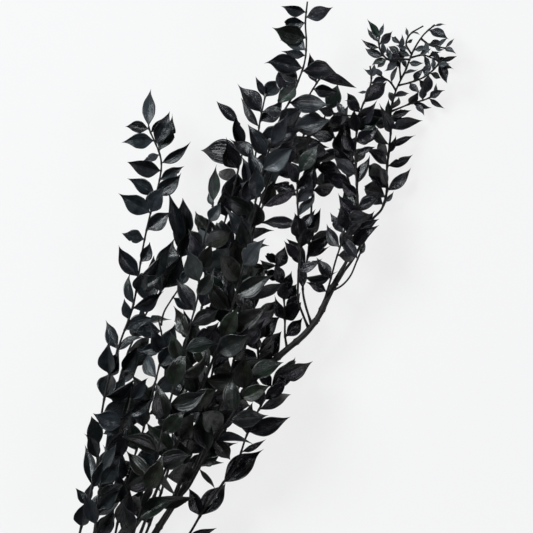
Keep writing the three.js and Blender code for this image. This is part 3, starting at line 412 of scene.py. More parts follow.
        (224, 482, 262, 447, 0.85), (200, 517, 227, 483, 0.9), (199, 516, 191, 487, 0.95),
        (186, 540, 217, 528, 0.5),
    )),
    ShootPlan("low_front_shoot", (1.2, 0.8), Dye.OLIVE, route=(
        (175, 503, 34), (188, 488, 52), (196, 474, 64), (203, 460, 74), (211, 445, 83),
        (221, 430, 89), (233, 412, 93), (243, 392, 94), (250, 372, 94),
    ), stretches=(Stretch(0.35, 1, (44, 40), (12, 12)),), placed=(
        (200, 467, 217, 487, 0.4), (202, 463, 220, 455, 0.8), (216, 438, 230, 459, 1.1),
    )),
    ShootPlan("low_left_shoot", (1.1, 0.8), Dye.OLIVE, route=(
        (133, 567, 27), (128, 548, 20), (123, 525, 16), (120, 500, 15), (118, 470, 15),
        (120, 440, 16), (127, 410, 17), (134, 385, 18),
    ), stretches=(Stretch(0.28, 1, (38, 36), (15, 13)),)),
    ShootPlan("left_wisp_shoot", (1, 0.8), Dye.SLATE, route=(
        (86, 667, 9), (88, 640, 28), (91, 600, 49), (94, 560, 67), (97, 533, 76), (100, 500, 84),
        (104, 475, 88), (110, 455, 90), (119, 436, 91), (128, 414, 92), (134, 392, 92),
    ), stretches=(Stretch(0.5, 1, (36, 34), (15, 13), side=-1, spread=(0.1, 0.9)),), placed=(
        (124, 422, 95, 413, 1.25), (126, 420, 104, 434, 0.9),
    )),
)


# ---- Seeded draws ----


class Draws:
    """A repeatable stream of numbers from 0 to 1."""

    WORD = 0xFFFFFFFF
    STRIDE = 0x6D2B79F5
    TURN = 6.0          # nearly a full turn, in radians

    def __init__(self, seed: int) -> None:
        """Starts the stream.

        Args:
            seed: any whole number.
        """
        self.state = seed & self.WORD

    def next(self) -> float:
        """Stirs the state by fixed shifts and turns it into the next number.

        Returns:
            The number.
        """
        self.state = (self.state + self.STRIDE) & self.WORD
        t = self.state
        t = ((t ^ (t >> 15)) * (t | 1)) & self.WORD
        t ^= (t + (((t ^ (t >> 7)) * (t | 61)) & self.WORD)) & self.WORD
        return (t ^ (t >> 14)) / (self.WORD + 1)

    def between(self, low: float, high: float) -> float:
        """The next number, spread over a range.

        Args:
            low: what 0 becomes.
            high: what 1 becomes.

        Returns:
            The number.
        """
        return low + (high - low) * self.next()

    def wave(self, at: Array, rates: Range) -> Array:
        """A wave from -1 to 1 over some places, of a rate in the range and with any start."""
        return np.sin(at * self.between(*rates) + self.between(0, self.TURN))


def mix(a: float, b: float, t: float) -> float:
    """The value a share t of the way from a to b."""
    return a + (b - a) * t


def ramp(low: float, high: float, t: Array) -> Array:
    """A smooth step from 0 at low to 1 at high."""
    s = np.clip((t - low) / (high - low), 0.0, 1.0)
    return s * s * (3 - 2 * s)


def unit(vector: Array) -> Array:
    """The vector, or each row of vectors, at length 1."""
    return vector / np.linalg.norm(vector, axis=-1, keepdims=True)


# ---- Routes ----


def to_frame(points: Sequence[Sequence[float]]) -> Array:
    """Sheet points in the part's own frame, in millimetres.

    Args:
        points: x, y and z of each point on the sheet.

    Returns:
        One row for each point.
    """
    rows = np.array(points, float)
    return np.stack([rows[:, 0] - FOOT_ON_SHEET[0], FOOT_ON_SHEET[1] - rows[:, 1], rows[:, 2]], 1)


class Route:
    """A stem's centre line as a smooth run of points, each with its distance from the fork."""

    def __init__(self, plan: ShootPlan) -> None:
        """Rounds the plan's route.

        Args:
            plan: the shoot whose route it is.
        """
        knots = to_frame(plan.route)
        around = np.vstack([2 * knots[0] - knots[1], knots, 2 * knots[-1] - knots[-2]])
        at = np.arange(SPAN_DIVISIONS * (len(knots) - 1) + 1) / SPAN_DIVISIONS
        span = np.minimum(at.astype(int), len(knots) - 2)
        t = (at - span)[:, None]
        before, start, end, after = (around[span + k] for k in range(4))
        leave, arrive = 0.5 * (end - before), 0.5 * (after - start)
        square, cube = t * t, t * t * t
        self.points = (start + leave * t + (3 * (end - start) - 2 * leave - arrive) * square
                       + (2 * (start - end) + leave + arrive) * cube)
        steps = np.linalg.norm(np.diff(self.points, axis=0), axis=1)
        self.distances = np.concatenate([[0.0], np.cumsum(steps)])
        self.length = float(self.distances[-1])
        self.radius = plan.radius
        self.stub = 0.0

    def at(self, distance: float | Array) -> Array:
        """The point, or one row for each point, at a distance from the fork."""
        return np.stack([np.interp(distance, self.distances, self.points[:, k])
                         for k in range(3)], -1)

    def tangent(self, distance: float | Array) -> Array:
        """The route's direction at a distance from the fork."""
        return unit(self.at(distance + TANGENT_REACH) - self.at(distance - TANGENT_REACH))

    def heading(self, distance: float) -> float:
        """The tangent's direction in plan, in radians from +X."""
        along = self.tangent(distance)
        return math.atan2(along[1], along[0])

    def radius_at(self, distance: float | Array) -> float | Array:
        """The stem's radius at a distance from the fork."""
        return mix(self.radius[0], self.radius[1], distance / self.length)

    def nearest(self, x: float, y: float) -> float:
        """The distance along the route that lies nearest to a sheet point.

        Args:
            x: the point's place across the sheet.
            y: its place down the sheet.

        Returns:
            The distance from the fork.
        """
        target = to_frame([(x, y, 0.0)])[0]
        gaps = np.hypot(self.points[:, 0] - target[0], self.points[:, 1] - target[1])
        return float(self.distances[int(np.argmin(gaps))])

    def measure_stub(self, parent: "Route") -> None:
        """Finds how much of the shoot runs too close to its parent to be told from it.

        Args:
            parent: the route that it forks from.
        """
        self.stub = float(STUB)
        close = parent.radius[0] + self.radius[0] + FORK_CLEARANCE
        for s in range(STUB, math.ceil(self.length / 2)):
            if np.linalg.norm(parent.points - self.at(s), axis=1).min() < close:
                self.stub = s + 1.0


# ---- Guard balls ----


@dataclass
class Guard:
    """The balls that surround each stem and blade, and the cells of the plan that they lie in."""

    room: int = 32768
    count: int = 0
    shaded: set[tuple[int, int]] = field(default_factory=set)

    def __post_init__(self) -> None:
        """Makes room for the balls."""
        self.centres = np.zeros((self.room, 3))
        self.radii = np.zeros(self.room)
        self.stems = np.full(self.room, -1)

    def add(self, centres: Array, radii: float | Array, stem: int) -> None:
        """Adds balls.

        Args:
            centres: one row for each ball.
            radii: their radius or radii.
            stem: the number of the stem that they surround or hang on.
        """
        rows = slice(self.count, self.count + len(centres))
        self.centres[rows], self.radii[rows], self.stems[rows] = centres, radii, stem
        self.count += len(centres)
        self.shaded.update(self.cells(centres))

    def cells(self, centres: Array) -> list[tuple[int, int]]:
        """The cell of the plan that each ball lies in."""
        return [tuple(cell) for cell in np.floor(centres[:, :2] / SHADE_CELL).astype(int).tolist()]

    def shade(self, centres: Array) -> int:
        """How many of the balls lie over or under something that has grown."""
        return sum(cell in self.shaded for cell in self.cells(centres))

    def is_clear(self, centres: Array, radius: float, stem: int, root: Array,
                 root_reach: float) -> bool:
        """Tells whether balls meet none, apart from the blade's own stem near its root.

        Args:
            centres: the blade's balls.
            radius: their radius.
            stem: the number of the blade's stem.
            root: where the blade leaves the stem.
            root_reach: how far from the root its own stem may be met.

        Returns:
            True where they are clear.
        """
        there, radii = self.centres[:self.count], self.radii[:self.count]
        margin = radius + radii
        near = np.all((there > centres.min(0) - margin[:, None])
                      & (there < centres.max(0) + margin[:, None]), axis=1)
        if not near.any():
            return True
        others = there[near]
        is_own = self.stems[:self.count][near] == stem
        is_met = ~(is_own & (np.linalg.norm(others - root, axis=1) < root_reach))
        gaps = np.linalg.norm(centres[:, None] - others[None, is_met], axis=2)
        return not (gaps < margin[near][is_met]).any()


# ---- Blades ----


def outline(u: Array) -> Array:
    """Half the blade's width at u, from 0 at the root to 1 at the tip, as a share of the widest."""
    return u ** PROFILE_RISE * (1 - u) ** PROFILE_FALL / PROFILE_TOP


# Where the guard balls lie: one near the root, rows of five across the blade, and one at the tip.
BALL_SPOTS = np.array([(0.12, 0.0)]
                      + [(i / 10, v) for i in range(2, 10) for v in (-1, -0.5, 0, 0.5, 1)]
                      + [(1.0, 0.0)])


@dataclass
class Blade:
    """One cladode: a pointed blade, folded along its midrib, that bows, curves and twists.

    distance is where on its stem it grows, root the point of the stem's centre line there, and
    stem_radius the stem's radius. heading is its direction in plan, in radians from +X, rise its
    angle above the level, and roll the turn of its face about its length. bow and sickle are twice
    how far its tip bends off along the face and across it, as shares of its length. twist is the
    turn of its face from root to tip, fold the slope of each half from the midrib, and width its
    width as a share of the usual one.
    """

    distance: float
    root: Array
    stem_radius: float
    heading: float
    rise: float
    length: float
    roll: float
    bow: float
    sickle: float
    twist: float
    fold: float
    width: float

    def __post_init__(self) -> None:
        """Works out its half width and its three directions."""
        self.half_width = 0.5 * BLADE_WIDTH_SHARE * self.width * self.length
        cos, sin = math.cos(self.heading), math.sin(self.heading)
        level = np.array([-sin, cos, 0.0])
        self.along = np.array([cos * math.cos(self.rise), sin * math.cos(self.rise),
                               math.sin(self.rise)])
        self.across = (level * math.cos(self.roll)
                       + np.cross(self.along, level) * math.sin(self.roll))
        self.face = np.cross(self.along, self.across)

    def axes(self, turn: Array) -> tuple[Array, Array]:
        """The blade's cross and face directions after a turn about its length."""
        cos, sin = np.cos(turn)[..., None], np.sin(turn)[..., None]
        return self.across * cos + self.face * sin, self.face * cos - self.across * sin

    def spine(self, u: Array) -> Array:
        """The points of the midrib at u, from 0 at the root to 1 at the tip."""
        along, bent = (u * self.length)[..., None], (0.5 * self.length * u * u)[..., None]
        return (self.root + self.along * along
                + (self.face * self.bow + self.across * self.sickle) * bent)

    def raw(self, u: Array, v: Array, off: float) -> Array:
        """Points of the blade before it is kept off the surface.

        Args:
            u: their places along it, from 0 at the root to 1 at the tip.
            v: their places across it, from -1 to 1.
            off: how far they stand off it along its face.

        Returns:
            One point for each place.
        """
        half = self.half_width * outline(u)
        across, face = self.axes(self.twist * u)
        return (self.spine(u) + across * (v * half)[..., None]
                + face * (self.fold * np.abs(v) * half + off)[..., None])

    def lift(self, u: Array) -> Array:
        """How far cross-sections have to be raised to lie on the surface and not under it.

        Args:
            u: their places along the blade.

        Returns:
            The lift of each.
        """
        low = np.min([self.raw(u, np.full_like(u, v), off)[..., 2]
                      for v, off in ((-1.0, 0.0), (1.0, 0.0), (0.0, -KEEL_DEPTH))], axis=0)
        return np.maximum(0.0, -low)

    def aimed(self, heading: float, span: float) -> "Blade":
        """The blade turned and scaled to reach a point, as seen from above.

        Args:
            heading: the direction of its tip from its root.
            span: the distance between them.

        Returns:
            The blade's turned and scaled copy.
        """
        reach = self.spine(np.array(1.0)) - self.root
        turn = heading - math.atan2(reach[1], reach[0])
        scale = span / math.hypot(reach[0], reach[1])
        return replace(self, heading=self.heading + turn, length=self.length * scale)

    def balls(self) -> Array:
        """The balls that guard the blade.

        Returns:
            Their centres, one row for each.
        """
        u, v = BALL_SPOTS[:, 0], BALL_SPOTS[:, 1]
        points = self.raw(u, v, 0.0)
        points[:, 2] += self.lift(u)
        return points


# ---- Growth ----


@dataclass(frozen=True)
class Habit:
    """How far a blade may rise, curve sideways and roll, and its part of the blade's seed."""

    rise: float
    sickle: float
    roll: float
    seed: int


class Kind(Enum):
    """How a blade gets its place, and with it its habit."""

    PLACED = Habit(0.5, 0.12, 0.35, 6)
    RULED = Habit(0.8, 0.35, 0.5, 5)


@dataclass(frozen=True)
class Target:
    """Where a blade is wanted.

    A ruled blade has a length. A placed one has a span on the sheet instead, its share of the
    common width and its bend to its left.
    """

    kind: Kind
    distance: float
    heading: float
    is_over: bool = False
    length: float = 0.0
    span: float = 0.0
    width: float = 1.0
    bend: float = 0.0


@dataclass
class Grown:
    """A stem with its number, its route and the blades that grew on it."""

    plan: ShootPlan
    index: int
    route: Route
    blades: list[Blade] = field(default_factory=list)

    def placed_targets(self) -> list[Target]:
        """The places of the blades that the plan gives one by one.

        Returns:
            One target for each.
        """
        targets = []
        for base_x, base_y, tip_x, tip_y, *shape in self.plan.placed:
            distance = max(self.route.nearest(base_x, base_y), self.route.stub + BARE_START)
            reach = to_frame([(tip_x, tip_y, 0.0)])[0] - self.route.at(distance)
            targets.append(Target(Kind.PLACED, distance, math.atan2(reach[1], reach[0]), False, 0.0,
                                  math.hypot(reach[0], reach[1]), *shape))
        return targets

    def ruled_targets(self) -> list[Target]:
        """The places of the other blades: left and right by turns, and at times over the stem.

        Returns:
            One target for each.
        """
        targets: list[Target] = []
        draws, route = Draws(RULE_SEED * (self.index + 1)), self.route
        for stretch in self.plan.stretches:
            turn = -1 if draws.next() < 0.5 else 1
            distance = max(stretch.start * route.length, route.stub + BARE_START)
            while distance <= stretch.end * route.length:
                share = (distance / route.length - stretch.start) / (stretch.end - stretch.start)
                is_over = draws.next() < stretch.over
                swing = draws.between(*(OVER_SWING if is_over else stretch.spread))
                side = turn if stretch.side is None else stretch.side
                length = mix(*stretch.length, share) * draws.between(*LENGTHS)
                heading = route.heading(distance) + side * swing
                targets.append(Target(Kind.RULED, distance, heading, is_over, length))
                distance += mix(*stretch.step, share) * draws.between(*STEPS)
                turn = -turn
        return targets

    def pose(self, target: Target, draws: Draws, attempt: int) -> Blade:
        """Tries one pose for a wanted blade.

        Args:
            target: where the blade is wanted.
            draws: the blade's own stream.
            attempt: how many poses were tried before.

        Returns:
            The blade in that pose.
        """
        is_placed, habit = target.kind is Kind.PLACED, target.kind.value
        reach = min(1.0, FIRST_REACH + attempt / REACH_TRIES)
        sign = 1 if target.is_over or draws.next() < 0.5 else -1
        if target.is_over:
            rise = draws.between(*OVER_RISE)
        else:
            rise = sign * draws.between(0, habit.rise) * reach
        heading = target.heading + draws.between(-0.5, 0.5) * (PLACED_SWING if is_placed else reach)
        turns_left = 1 if math.sin(self.route.heading(target.distance) - heading) > 0 else -1
        sickle = turns_left * draws.between(0, habit.sickle) + target.bend
        tilt = draws.between(-1, 1)
        is_turned = not is_placed and draws.next() < TURNED_SHARE
        roll = tilt * (TURNED_ROLL if is_turned else habit.roll)
        bow, twist, fold = (draws.between(*limits) for limits in (BOW, TWIST, FOLD))
        width = PLACED_WIDTH * target.width if is_placed else draws.between(*WIDTHS)
        blade = Blade(target.distance, self.route.at(target.distance),
                      self.route.radius_at(target.distance), heading - 0.5 * sickle, rise,
                      target.span if is_placed else target.length, roll, bow, sickle, twist, fold,
                      width)
        return blade.aimed(heading, target.span) if is_placed else blade

    def grow(self, guard: Guard, target: Target, draws: Draws) -> None:
        """Grows the first clear pose of a placed blade, or a ruled one's least shaded, if any.

        Args:
            guard: the balls of what has grown.
            target: where the blade is wanted.
            draws: the blade's own stream.
        """
        wanted = 1 if target.kind is Kind.PLACED else CHOICES
        choices: list[tuple[int, Blade, Array, float]] = []
        for attempt in range(TRIES):
            blade = self.pose(target, draws, attempt)
            balls, radius = blade.balls(), BLADE_GUARD_SHARE * blade.length + BLADE_GUARD
            root_reach = ROOT_REACH_SHARE * blade.length + ROOT_REACH
            if guard.is_clear(balls, radius, self.index, blade.root, root_reach):
                choices.append((guard.shade(balls), blade, balls, radius))
                if len(choices) == wanted:
                    break
        if choices:
            _, blade, balls, radius = min(choices, key=lambda choice: choice[0])
            guard.add(balls, radius, self.index)
            self.blades.append(blade)


def grow_spray() -> list[Grown]:
    """Grows the stems, then the placed blades, then the ruled ones, clear of what was there.

    Returns:
        The stems with their blades, the stalk first.
    """
    guard = Guard()
    spray = [Grown(plan, index, Route(plan)) for index, plan in enumerate(SHOOTS)]
    for stem in spray[1:]:
        if stem.plan.node is None:
            stem.route.measure_stub(spray[0].route)
    for stem in spray:
        along = np.arange(0, stem.route.length, STEM_GUARD_STEP)
        guard.add(stem.route.at(along), stem.route.radius_at(along) + STEM_GUARD, stem.index)
    for kind in Kind:
        for stem in spray:
            targets = stem.placed_targets() if kind is Kind.PLACED else stem.ruled_targets()
            for number, target in enumerate(targets):
                seed = POSE_SEED[0] * (stem.index + 1) + POSE_SEED[1] * number
                stem.grow(guard, target, Draws(seed + kind.value.seed))
    return spray


# ---- Meshes ----


class Surface(IntEnum):
    """The number that each finish has on a piece."""

    LEAF = 0
    STEM = 1
    CUT = 2


def tube(middle: Array, side: Array, up: Array, sizes: Array, angles: Array) -> Array:
    """Rings of points round a line.

    Args:
        middle: the line's points, one for each ring.
        side: the direction of angle 0, for all points or by ring.
        up: the direction a quarter turn on, in the same way.
        sizes: the points' distances from the line, by ring and place.
        angles: the angle of each place, in radians.

    Returns:
        The points by ring and place.
    """
    return (middle[:, None] + side * (sizes * np.cos(angles))[..., None]
            + up * (sizes * np.sin(angles))[..., None])


@dataclass
class MeshParts:
    """Lofted closed forms that are gathered into one mesh, with what its finish reads."""

    MAP_SLACK = 1.12    # first edge of the square map, over that of the patches' whole area
    MAP_GROWTH = 1.04   # what it grows by until the patches fit
    MAP_GAP = 0.0008    # margin round each patch, in shares of the map's edge

    points: list[Array] = field(default_factory=list)
    faces: list[Array] = field(default_factory=list)
    grain: list[Array] = field(default_factory=list)
    surfaces: list[Array] = field(default_factory=list)
    tone: list[Array] = field(default_factory=list)
    dye: list[Array] = field(default_factory=list)
    patch: list[Array] = field(default_factory=list)
    patch_sizes: list[Range] = field(default_factory=list)
    count: int = 0

    def loft(self, rings: Array, around: Array, along: Array, surface: Surface,
             tone: float, dye: float, end_surface: Surface | None = None) -> None:
        """Joins rings of points into a closed form with both ends filled.

        Args:
            rings: points by ring and place in the ring, in millimetres, turning left about the way
                from the first ring to the last.
            around: the grain's first coordinate at each place, and once more at the closing place.
            along: the grain's second coordinate at each ring.
            surface: the finish.
            tone: how light the form is, where 1 is a light one.
            dye: its place on the dye ramp.
            end_surface: the finish of the first ring's filling, where it differs.
        """
        count, size = rings.shape[:2]
        i, k = np.meshgrid(np.arange(count - 1), np.arange(size), indexing="ij")
        ring = np.stack([i, i, i + 1, i + 1], -1).reshape(-1, 4)
        place = np.stack([k, k + 1, k + 1, k], -1).reshape(-1, 4)
        j = np.arange(size // 2 - 1)
        strip = np.stack([j, size - 1 - j, size - 2 - j, j + 1], -1)
        surfaces = np.full(len(ring) + 2 * len(strip), int(surface))
        if end_surface is not None:
            surfaces[len(ring):len(ring) + len(strip)] = int(end_surface)
        ring = np.concatenate([ring, np.zeros_like(strip), np.full_like(strip, count - 1)])
        place = np.concatenate([place, strip, strip[:, ::-1]])
        share = np.linspace(0.0, 1.0, size + 1)
        self.points.append(rings.reshape(-1, 3) * METRES)
        self.faces.append(ring * size + place % size + self.count)
        self.grain.append(np.stack([around[place], along[ring]], -1))
        self.patch.append(np.stack([share[place], ring / (count - 1)], -1))
        self.surfaces.append(surfaces)
        self.tone.append(np.full(count * size, tone))
        self.dye.append(np.full(count * size, dye))
        girth = np.linalg.norm(np.diff(rings, axis=1), axis=2).sum(1).max()
        length = np.linalg.norm(np.diff(rings[:, 0], axis=0), axis=1).sum()
        self.patch_sizes.append((girth, length))
        self.count += count * size

    def atlas(self) -> list[Array]:
        """Gives each form a patch of its own on one square map, tall ones first, in rows.

        Returns:
            For each form, the places on the map of its faces' corners.
        """
        order = sorted(range(len(self.patch_sizes)), key=lambda n: -self.patch_sizes[n][1])
        edge = math.sqrt(sum(girth * length for girth, length in self.patch_sizes)) * self.MAP_SLACK
        while True:
            places, x, y, row = {}, 0.0, 0.0, 0.0
            for n in order:
                girth, length = self.patch_sizes[n]
                tall = min(length, edge)
                wide = girth * length / tall if length > edge else girth
                if x + wide > edge:
                    x, y, row = 0.0, y + row, 0.0
                places[n] = (x, y, wide, tall)
                x, row = x + wide, max(row, tall)
            if y + row <= edge:
                break
            edge *= self.MAP_GROWTH
        corners = []
        for n, patch in enumerate(self.patch):
            x, y, *size = (value / edge for value in places[n])
            inner = np.array([max(side - 2 * self.MAP_GAP, side * 0.5) for side in size])
            corners.append(np.array([x, y]) + self.MAP_GAP + patch * inner)
        return corners

    def to_object(self, name: str, materials: Sequence[bpy.types.Material]) -> bpy.types.Object:
        """Makes the piece.

        Args:
            name: the piece's name.
            materials: its materials, in the order of the surfaces' numbers.

        Returns:
            The piece, linked to the scene.
        """
        points, faces = np.concatenate(self.points), np.concatenate(self.faces)
        mesh = bpy.data.meshes.new(name)
        mesh.from_pydata(points.tolist(), [], faces.tolist())
        surfaces = np.concatenate(self.surfaces).astype(np.int32)
        mesh.polygons.foreach_set("material_index", surfaces)
        mesh.polygons.foreach_set("use_smooth", np.ones(len(faces), bool))
        for label, corners in (("grain", self.grain), ("OFBake", self.atlas())):
            layer = mesh.uv_layers.new(name=label)
            layer.data.foreach_set("uv", np.concatenate(corners).astype(np.float32).ravel())
        for label, values in (("tone", self.tone), ("dye", self.dye)):
            attribute = mesh.attributes.new(label, "FLOAT", "POINT")
            attribute.data.foreach_set("value", np.concatenate(values).astype(np.float32))
        for material in materials:
            mesh.materials.append(material)
        mesh.update()
        piece = bpy.data.objects.new(name, mesh)
        bpy.context.scene.collection.objects.link(piece)
        return piece


# ---- The fine forms ----


class Ending(Enum):
    """How a blade ends: whole, drawn out, or broken off."""

    WHOLE = "whole"
    DRAWN = "drawn"
    BROKEN = "broken"


@dataclass(frozen=True)
class BladeForm:
    """The shape of a dry blade: thin, channelled along its midrib, wavy, and slender at its tip.

    Lengths are in millimetres and angles in radians. Places along a blade go from 0 at its root to
    1 at its tip, and places across it from -1 to 1. A Range holds the limits of a draw, or the two
    ends of a smooth step.
    """

    # The mesh: the places of a ring's points across the blade, and how many rings there are.
    columns: tuple[float, ...] = (-1, -0.82, -0.5, -0.2, 0, 0.2, 0.5, 0.82, 1)
    rings: int = 26
    small_rings: int = 16

    # Small blades: the lengths between which a blade passes into one, and what that changes.
    small_lengths: Range = (22.0, 12.0)
    small_tone: float = 1.35
    small_tone_share: float = 0.85
    small_slim: float = 0.16

    # Tone, with painted shade that darkens blades lower over the surface, and by distance from the
    # foot, darker towards it; and dye, partly by chance.
    height_shade: Range = (0.7, 1.05)
    heights: Range = (15.0, 85.0)
    foot_tone: float = 0.65
    foot_reach: Range = (200.0, 430.0)
    dye_stray: float = 0.12
    bottle_share: float = 0.025
    bottle_dye: float = 0.97
    any_dye_share: float = 0.15

    # Thickness, with a groove over the midrib and a rib under it.
    thickness: float = 0.42
    edge_thickness: float = 0.16
    short_share: float = 0.55
    short_reach: float = 90.0
    tip_thinning: float = 0.45
    tip_thins: Range = (0.6, 1.0)
    groove: float = 0.16
    groove_half_width: float = 0.12
    groove_starts: Range = (0.04, 0.2)
    groove_ends: Range = (1.0, 0.7)
    rib: float = 0.3
    rib_length: float = 40.0

    # Outline: the neck, the body and the tip.
    neck_length: float = 3.2
    neck_half_width: float = 0.62
    neck_thickness: float = 0.9
    neck_pinch: float = 0.5
    neck_blade: float = 30.0
    spread: float = 1.18
    base_taper: float = 0.34
    base_reach: float = 0.36
    pinch: Range = (0.2, 0.55)
    drawn_pinch: float = 0.66
    pinch_start: Range = (0.5, 0.66)
    pinch_end: float = 0.97
    tip_half_width: float = 0.16
    tip_narrowing: float = 0.4

    # Drawn-out, broken and torn blades: how many, where and how deep.
    drawn_share: float = 0.22
    broken_share: float = 0.02
    break_at: Range = (0.68, 0.88)
    jaggedness: float = 0.04
    torn_share: float = 0.08
    tear_at: Range = (0.25, 0.75)
    tear_depth: Range = (0.15, 0.45)
    tear_reach: float = 0.05

    # The midrib's bends, most of them near the tip.
    late: float = 0.62
    tip_twist: Range = (-3.2, 3.2)
    curl: Range = (-1.5, 1.1)
    hook: Range = (-0.8, 0.8)
    sway: float = 0.012
    sway_rates: Range = (3, 6)

    # The cross-section's relief, as shares of the half width, and its waves along the blade.
    extra_fold: float = 0.12
    crease_round: float = 0.02
    crease_drop: float = 0.14
    cup: Range = (-0.16, 0.34)
    roll_in: Range = (-0.1, 0.25)
    wave: Range = (0.02, 0.13)
    wave_rates: Range = (3, 8)
    wave_starts: Range = (0.05, 0.3)
    pucker: float = 0.012
    pucker_rates: Range = (18, 34)
    edge_wave: float = 0.012
    edge_rates: Range = (14, 30)

    def add(self, parts: MeshParts, blade: Blade, draws: Draws, dye: float) -> None:
        """Adds one blade to a mesh.

        Args:
            parts: the mesh's forms.
            blade: the blade's pose and main sizes.
            draws: its own stream.
            dye: its shoot's place on the dye ramp.
        """
        count = self.small_rings if blade.length < self.small_lengths[0] else self.rings
        chance = draws.next()
        ending = (Ending.DRAWN if chance < self.drawn_share
                  else Ending.BROKEN if chance > 1 - self.broken_share else Ending.WHOLE)
        v = np.array(self.columns, float)
        u = np.linspace(0.0, 1.0, count)[:, None] * np.ones(len(v))
        if ending is Ending.BROKEN:
            cut = draws.between(*self.break_at)
            u = u * (cut + self.jaggedness * np.array([draws.between(-1, 1) for _ in v]))
        midrib = u[:, len(v) // 2]
        half = self.half_width(blade, midrib, ending, draws)
        halves = half[:, None] * self.tears(u, v, draws)
        middle, across, face = self.bent(blade, u, draws)
        relief = self.relief(blade, u, v, halves, draws)
        base = middle + across * (v * halves)[..., None] + face * relief[..., None]
        thick = self.half_thickness(blade, u, v)
        dip = (np.exp(-(v / self.groove_half_width) ** 2) * ramp(*self.groove_starts, u)
               * ramp(*self.groove_ends, u))
        top = base + face * (thick - self.groove * dip)[..., None]
        rib = self.rib * dip * (blade.length / self.rib_length)
        under = base - face * (thick + rib)[..., None]
        rings = np.concatenate([top, under[:, ::-1]], axis=1)
        low = rings[..., 2].min(axis=1, keepdims=True)
        rings[..., 2] += np.maximum(FLOOR_GAP - low, 0.0)
        around = np.concatenate([v, v[::-1], v[:1]])
        tone = self.tone(blade, draws)
        parts.loft(rings[:, ::-1], around, midrib, Surface.LEAF, tone, self.shade(dye, draws))

    def small(self, blade: Blade) -> float:
        """How far a blade is a small one, from 0 to 1."""
        return ramp(*self.small_lengths, blade.length)

    def tone(self, blade: Blade, draws: Draws) -> float:
        """How light a blade is: a tone by chance, with painted shade on blades low over the
        surface.

        Args:
            blade: the blade.
            draws: its stream.

        Returns:
            Its tone, where 1 is a light one.
        """
        # Painted shade: the lower a blade's root lies over the surface, the darker its tone.
        tone = draws.next() * mix(*self.height_shade, ramp(*self.heights, blade.root[2]))
        tone = tone * mix(self.foot_tone, 1.0, ramp(*self.foot_reach, blade.root[1]))
        return mix(tone, self.small_tone, self.small_tone_share * self.small(blade))

    def shade(self, dye: float, draws: Draws) -> float:
        """How the dye took on a blade: much as on its shoot, and now and then in any way.

        Args:
            dye: its shoot's place on the dye ramp.
            draws: the blade's stream.

        Returns:
            Its own place on the ramp.
        """
        odd = draws.next()
        near = dye + draws.between(-self.dye_stray, self.dye_stray)
        if odd > 1 - self.bottle_share:
            return self.bottle_dye
        return odd / self.any_dye_share if odd < self.any_dye_share else near

    def half_width(self, blade: Blade, u: Array, ending: Ending, draws: Draws) -> Array:
        """Half the width at each ring, with a short neck and a slender tip.

        Args:
            blade: the blade.
            u: the rings' places along it.
            ending: how it ends.
            draws: its stream.

        Returns:
            The half width at each ring.
        """
        pinch = self.drawn_pinch if ending is Ending.DRAWN else draws.between(*self.pinch)
        start = draws.between(*self.pinch_start)
        from_root = u * blade.length / self.neck_length
        full = self.spread * blade.half_width * (1 - self.small_slim * self.small(blade))
        shape = full * outline(u) * (1 - pinch * ramp(start, self.pinch_end, u))
        shape = shape * (1 - self.base_taper * ramp(self.base_reach, 0.0, u))
        shape = shape * (1 - self.neck_pinch * np.exp(-from_root ** 2))
        neck = self.neck_half_width * np.exp(-from_root) * min(1.0, blade.length / self.neck_blade)
        tip = self.tip_half_width * mix(self.tip_narrowing, 1.0, 1 - u)
        return np.maximum(np.maximum(shape, neck), tip)

    def half_thickness(self, blade: Blade, u: Array, v: Array) -> Array:
        """Half the thickness of the blade.

        Args:
            blade: the blade.
            u: places along it.
            v: places across it.

        Returns:
            The half thickness at each place.
        """
        short = min(1.0, self.short_share + blade.length / self.short_reach)
        flat = mix(self.thickness, self.edge_thickness, np.abs(v) ** 2) * short
        neck = self.neck_thickness * short * np.exp(-u * blade.length / self.neck_length)
        slim = 1 - self.tip_thinning * ramp(*self.tip_thins, u)
        return 0.5 * np.maximum(flat * slim, neck * (1 - 0.5 * np.abs(v)))

    def tears(self, u: Array, v: Array, draws: Draws) -> Array:
        """What is left of the width where an edge is torn, with a slight wave in both edges.

        Args:
            u: places along the blade.
            v: places across it.
            draws: its stream.

        Returns:
            The share that is left at each place.
        """
        left = np.ones_like(u)
        edge = np.abs(v) ** 3
        for side in (-1, 1):
            wobble = self.edge_wave * draws.wave(u, self.edge_rates)
            left += np.where(v * side > 0, edge * wobble, 0.0)
            if draws.next() < self.torn_share:
                at, depth = draws.between(*self.tear_at), draws.between(*self.tear_depth)
                notch = np.maximum(0.0, 1 - np.abs(u - at) / self.tear_reach)
                left -= np.where(v * side > 0, edge * depth * notch, 0.0)
        return left

    def bent(self, blade: Blade, u: Array, draws: Draws) -> tuple[Array, ...]:
        """The midrib with the tip's own curl.

        Args:
            blade: the blade.
            u: places along it.
            draws: its stream.

        Returns:
            The midrib's points and the cross and face directions, at each place.
        """
        late = np.maximum(0.0, u - self.late)
        turn = blade.twist * u + draws.between(*self.tip_twist) * late ** 1.5
        across, face = blade.axes(turn)
        curl = (draws.between(*self.curl) * late ** 2 * blade.length)[..., None]
        hook = (draws.between(*self.hook) * late ** 2 * blade.length)[..., None]
        sway = self.sway * blade.length * draws.wave(u, self.sway_rates) * u
        middle = blade.spine(u) + blade.face * curl + blade.across * hook
        return middle + blade.face * sway[..., None], across, face

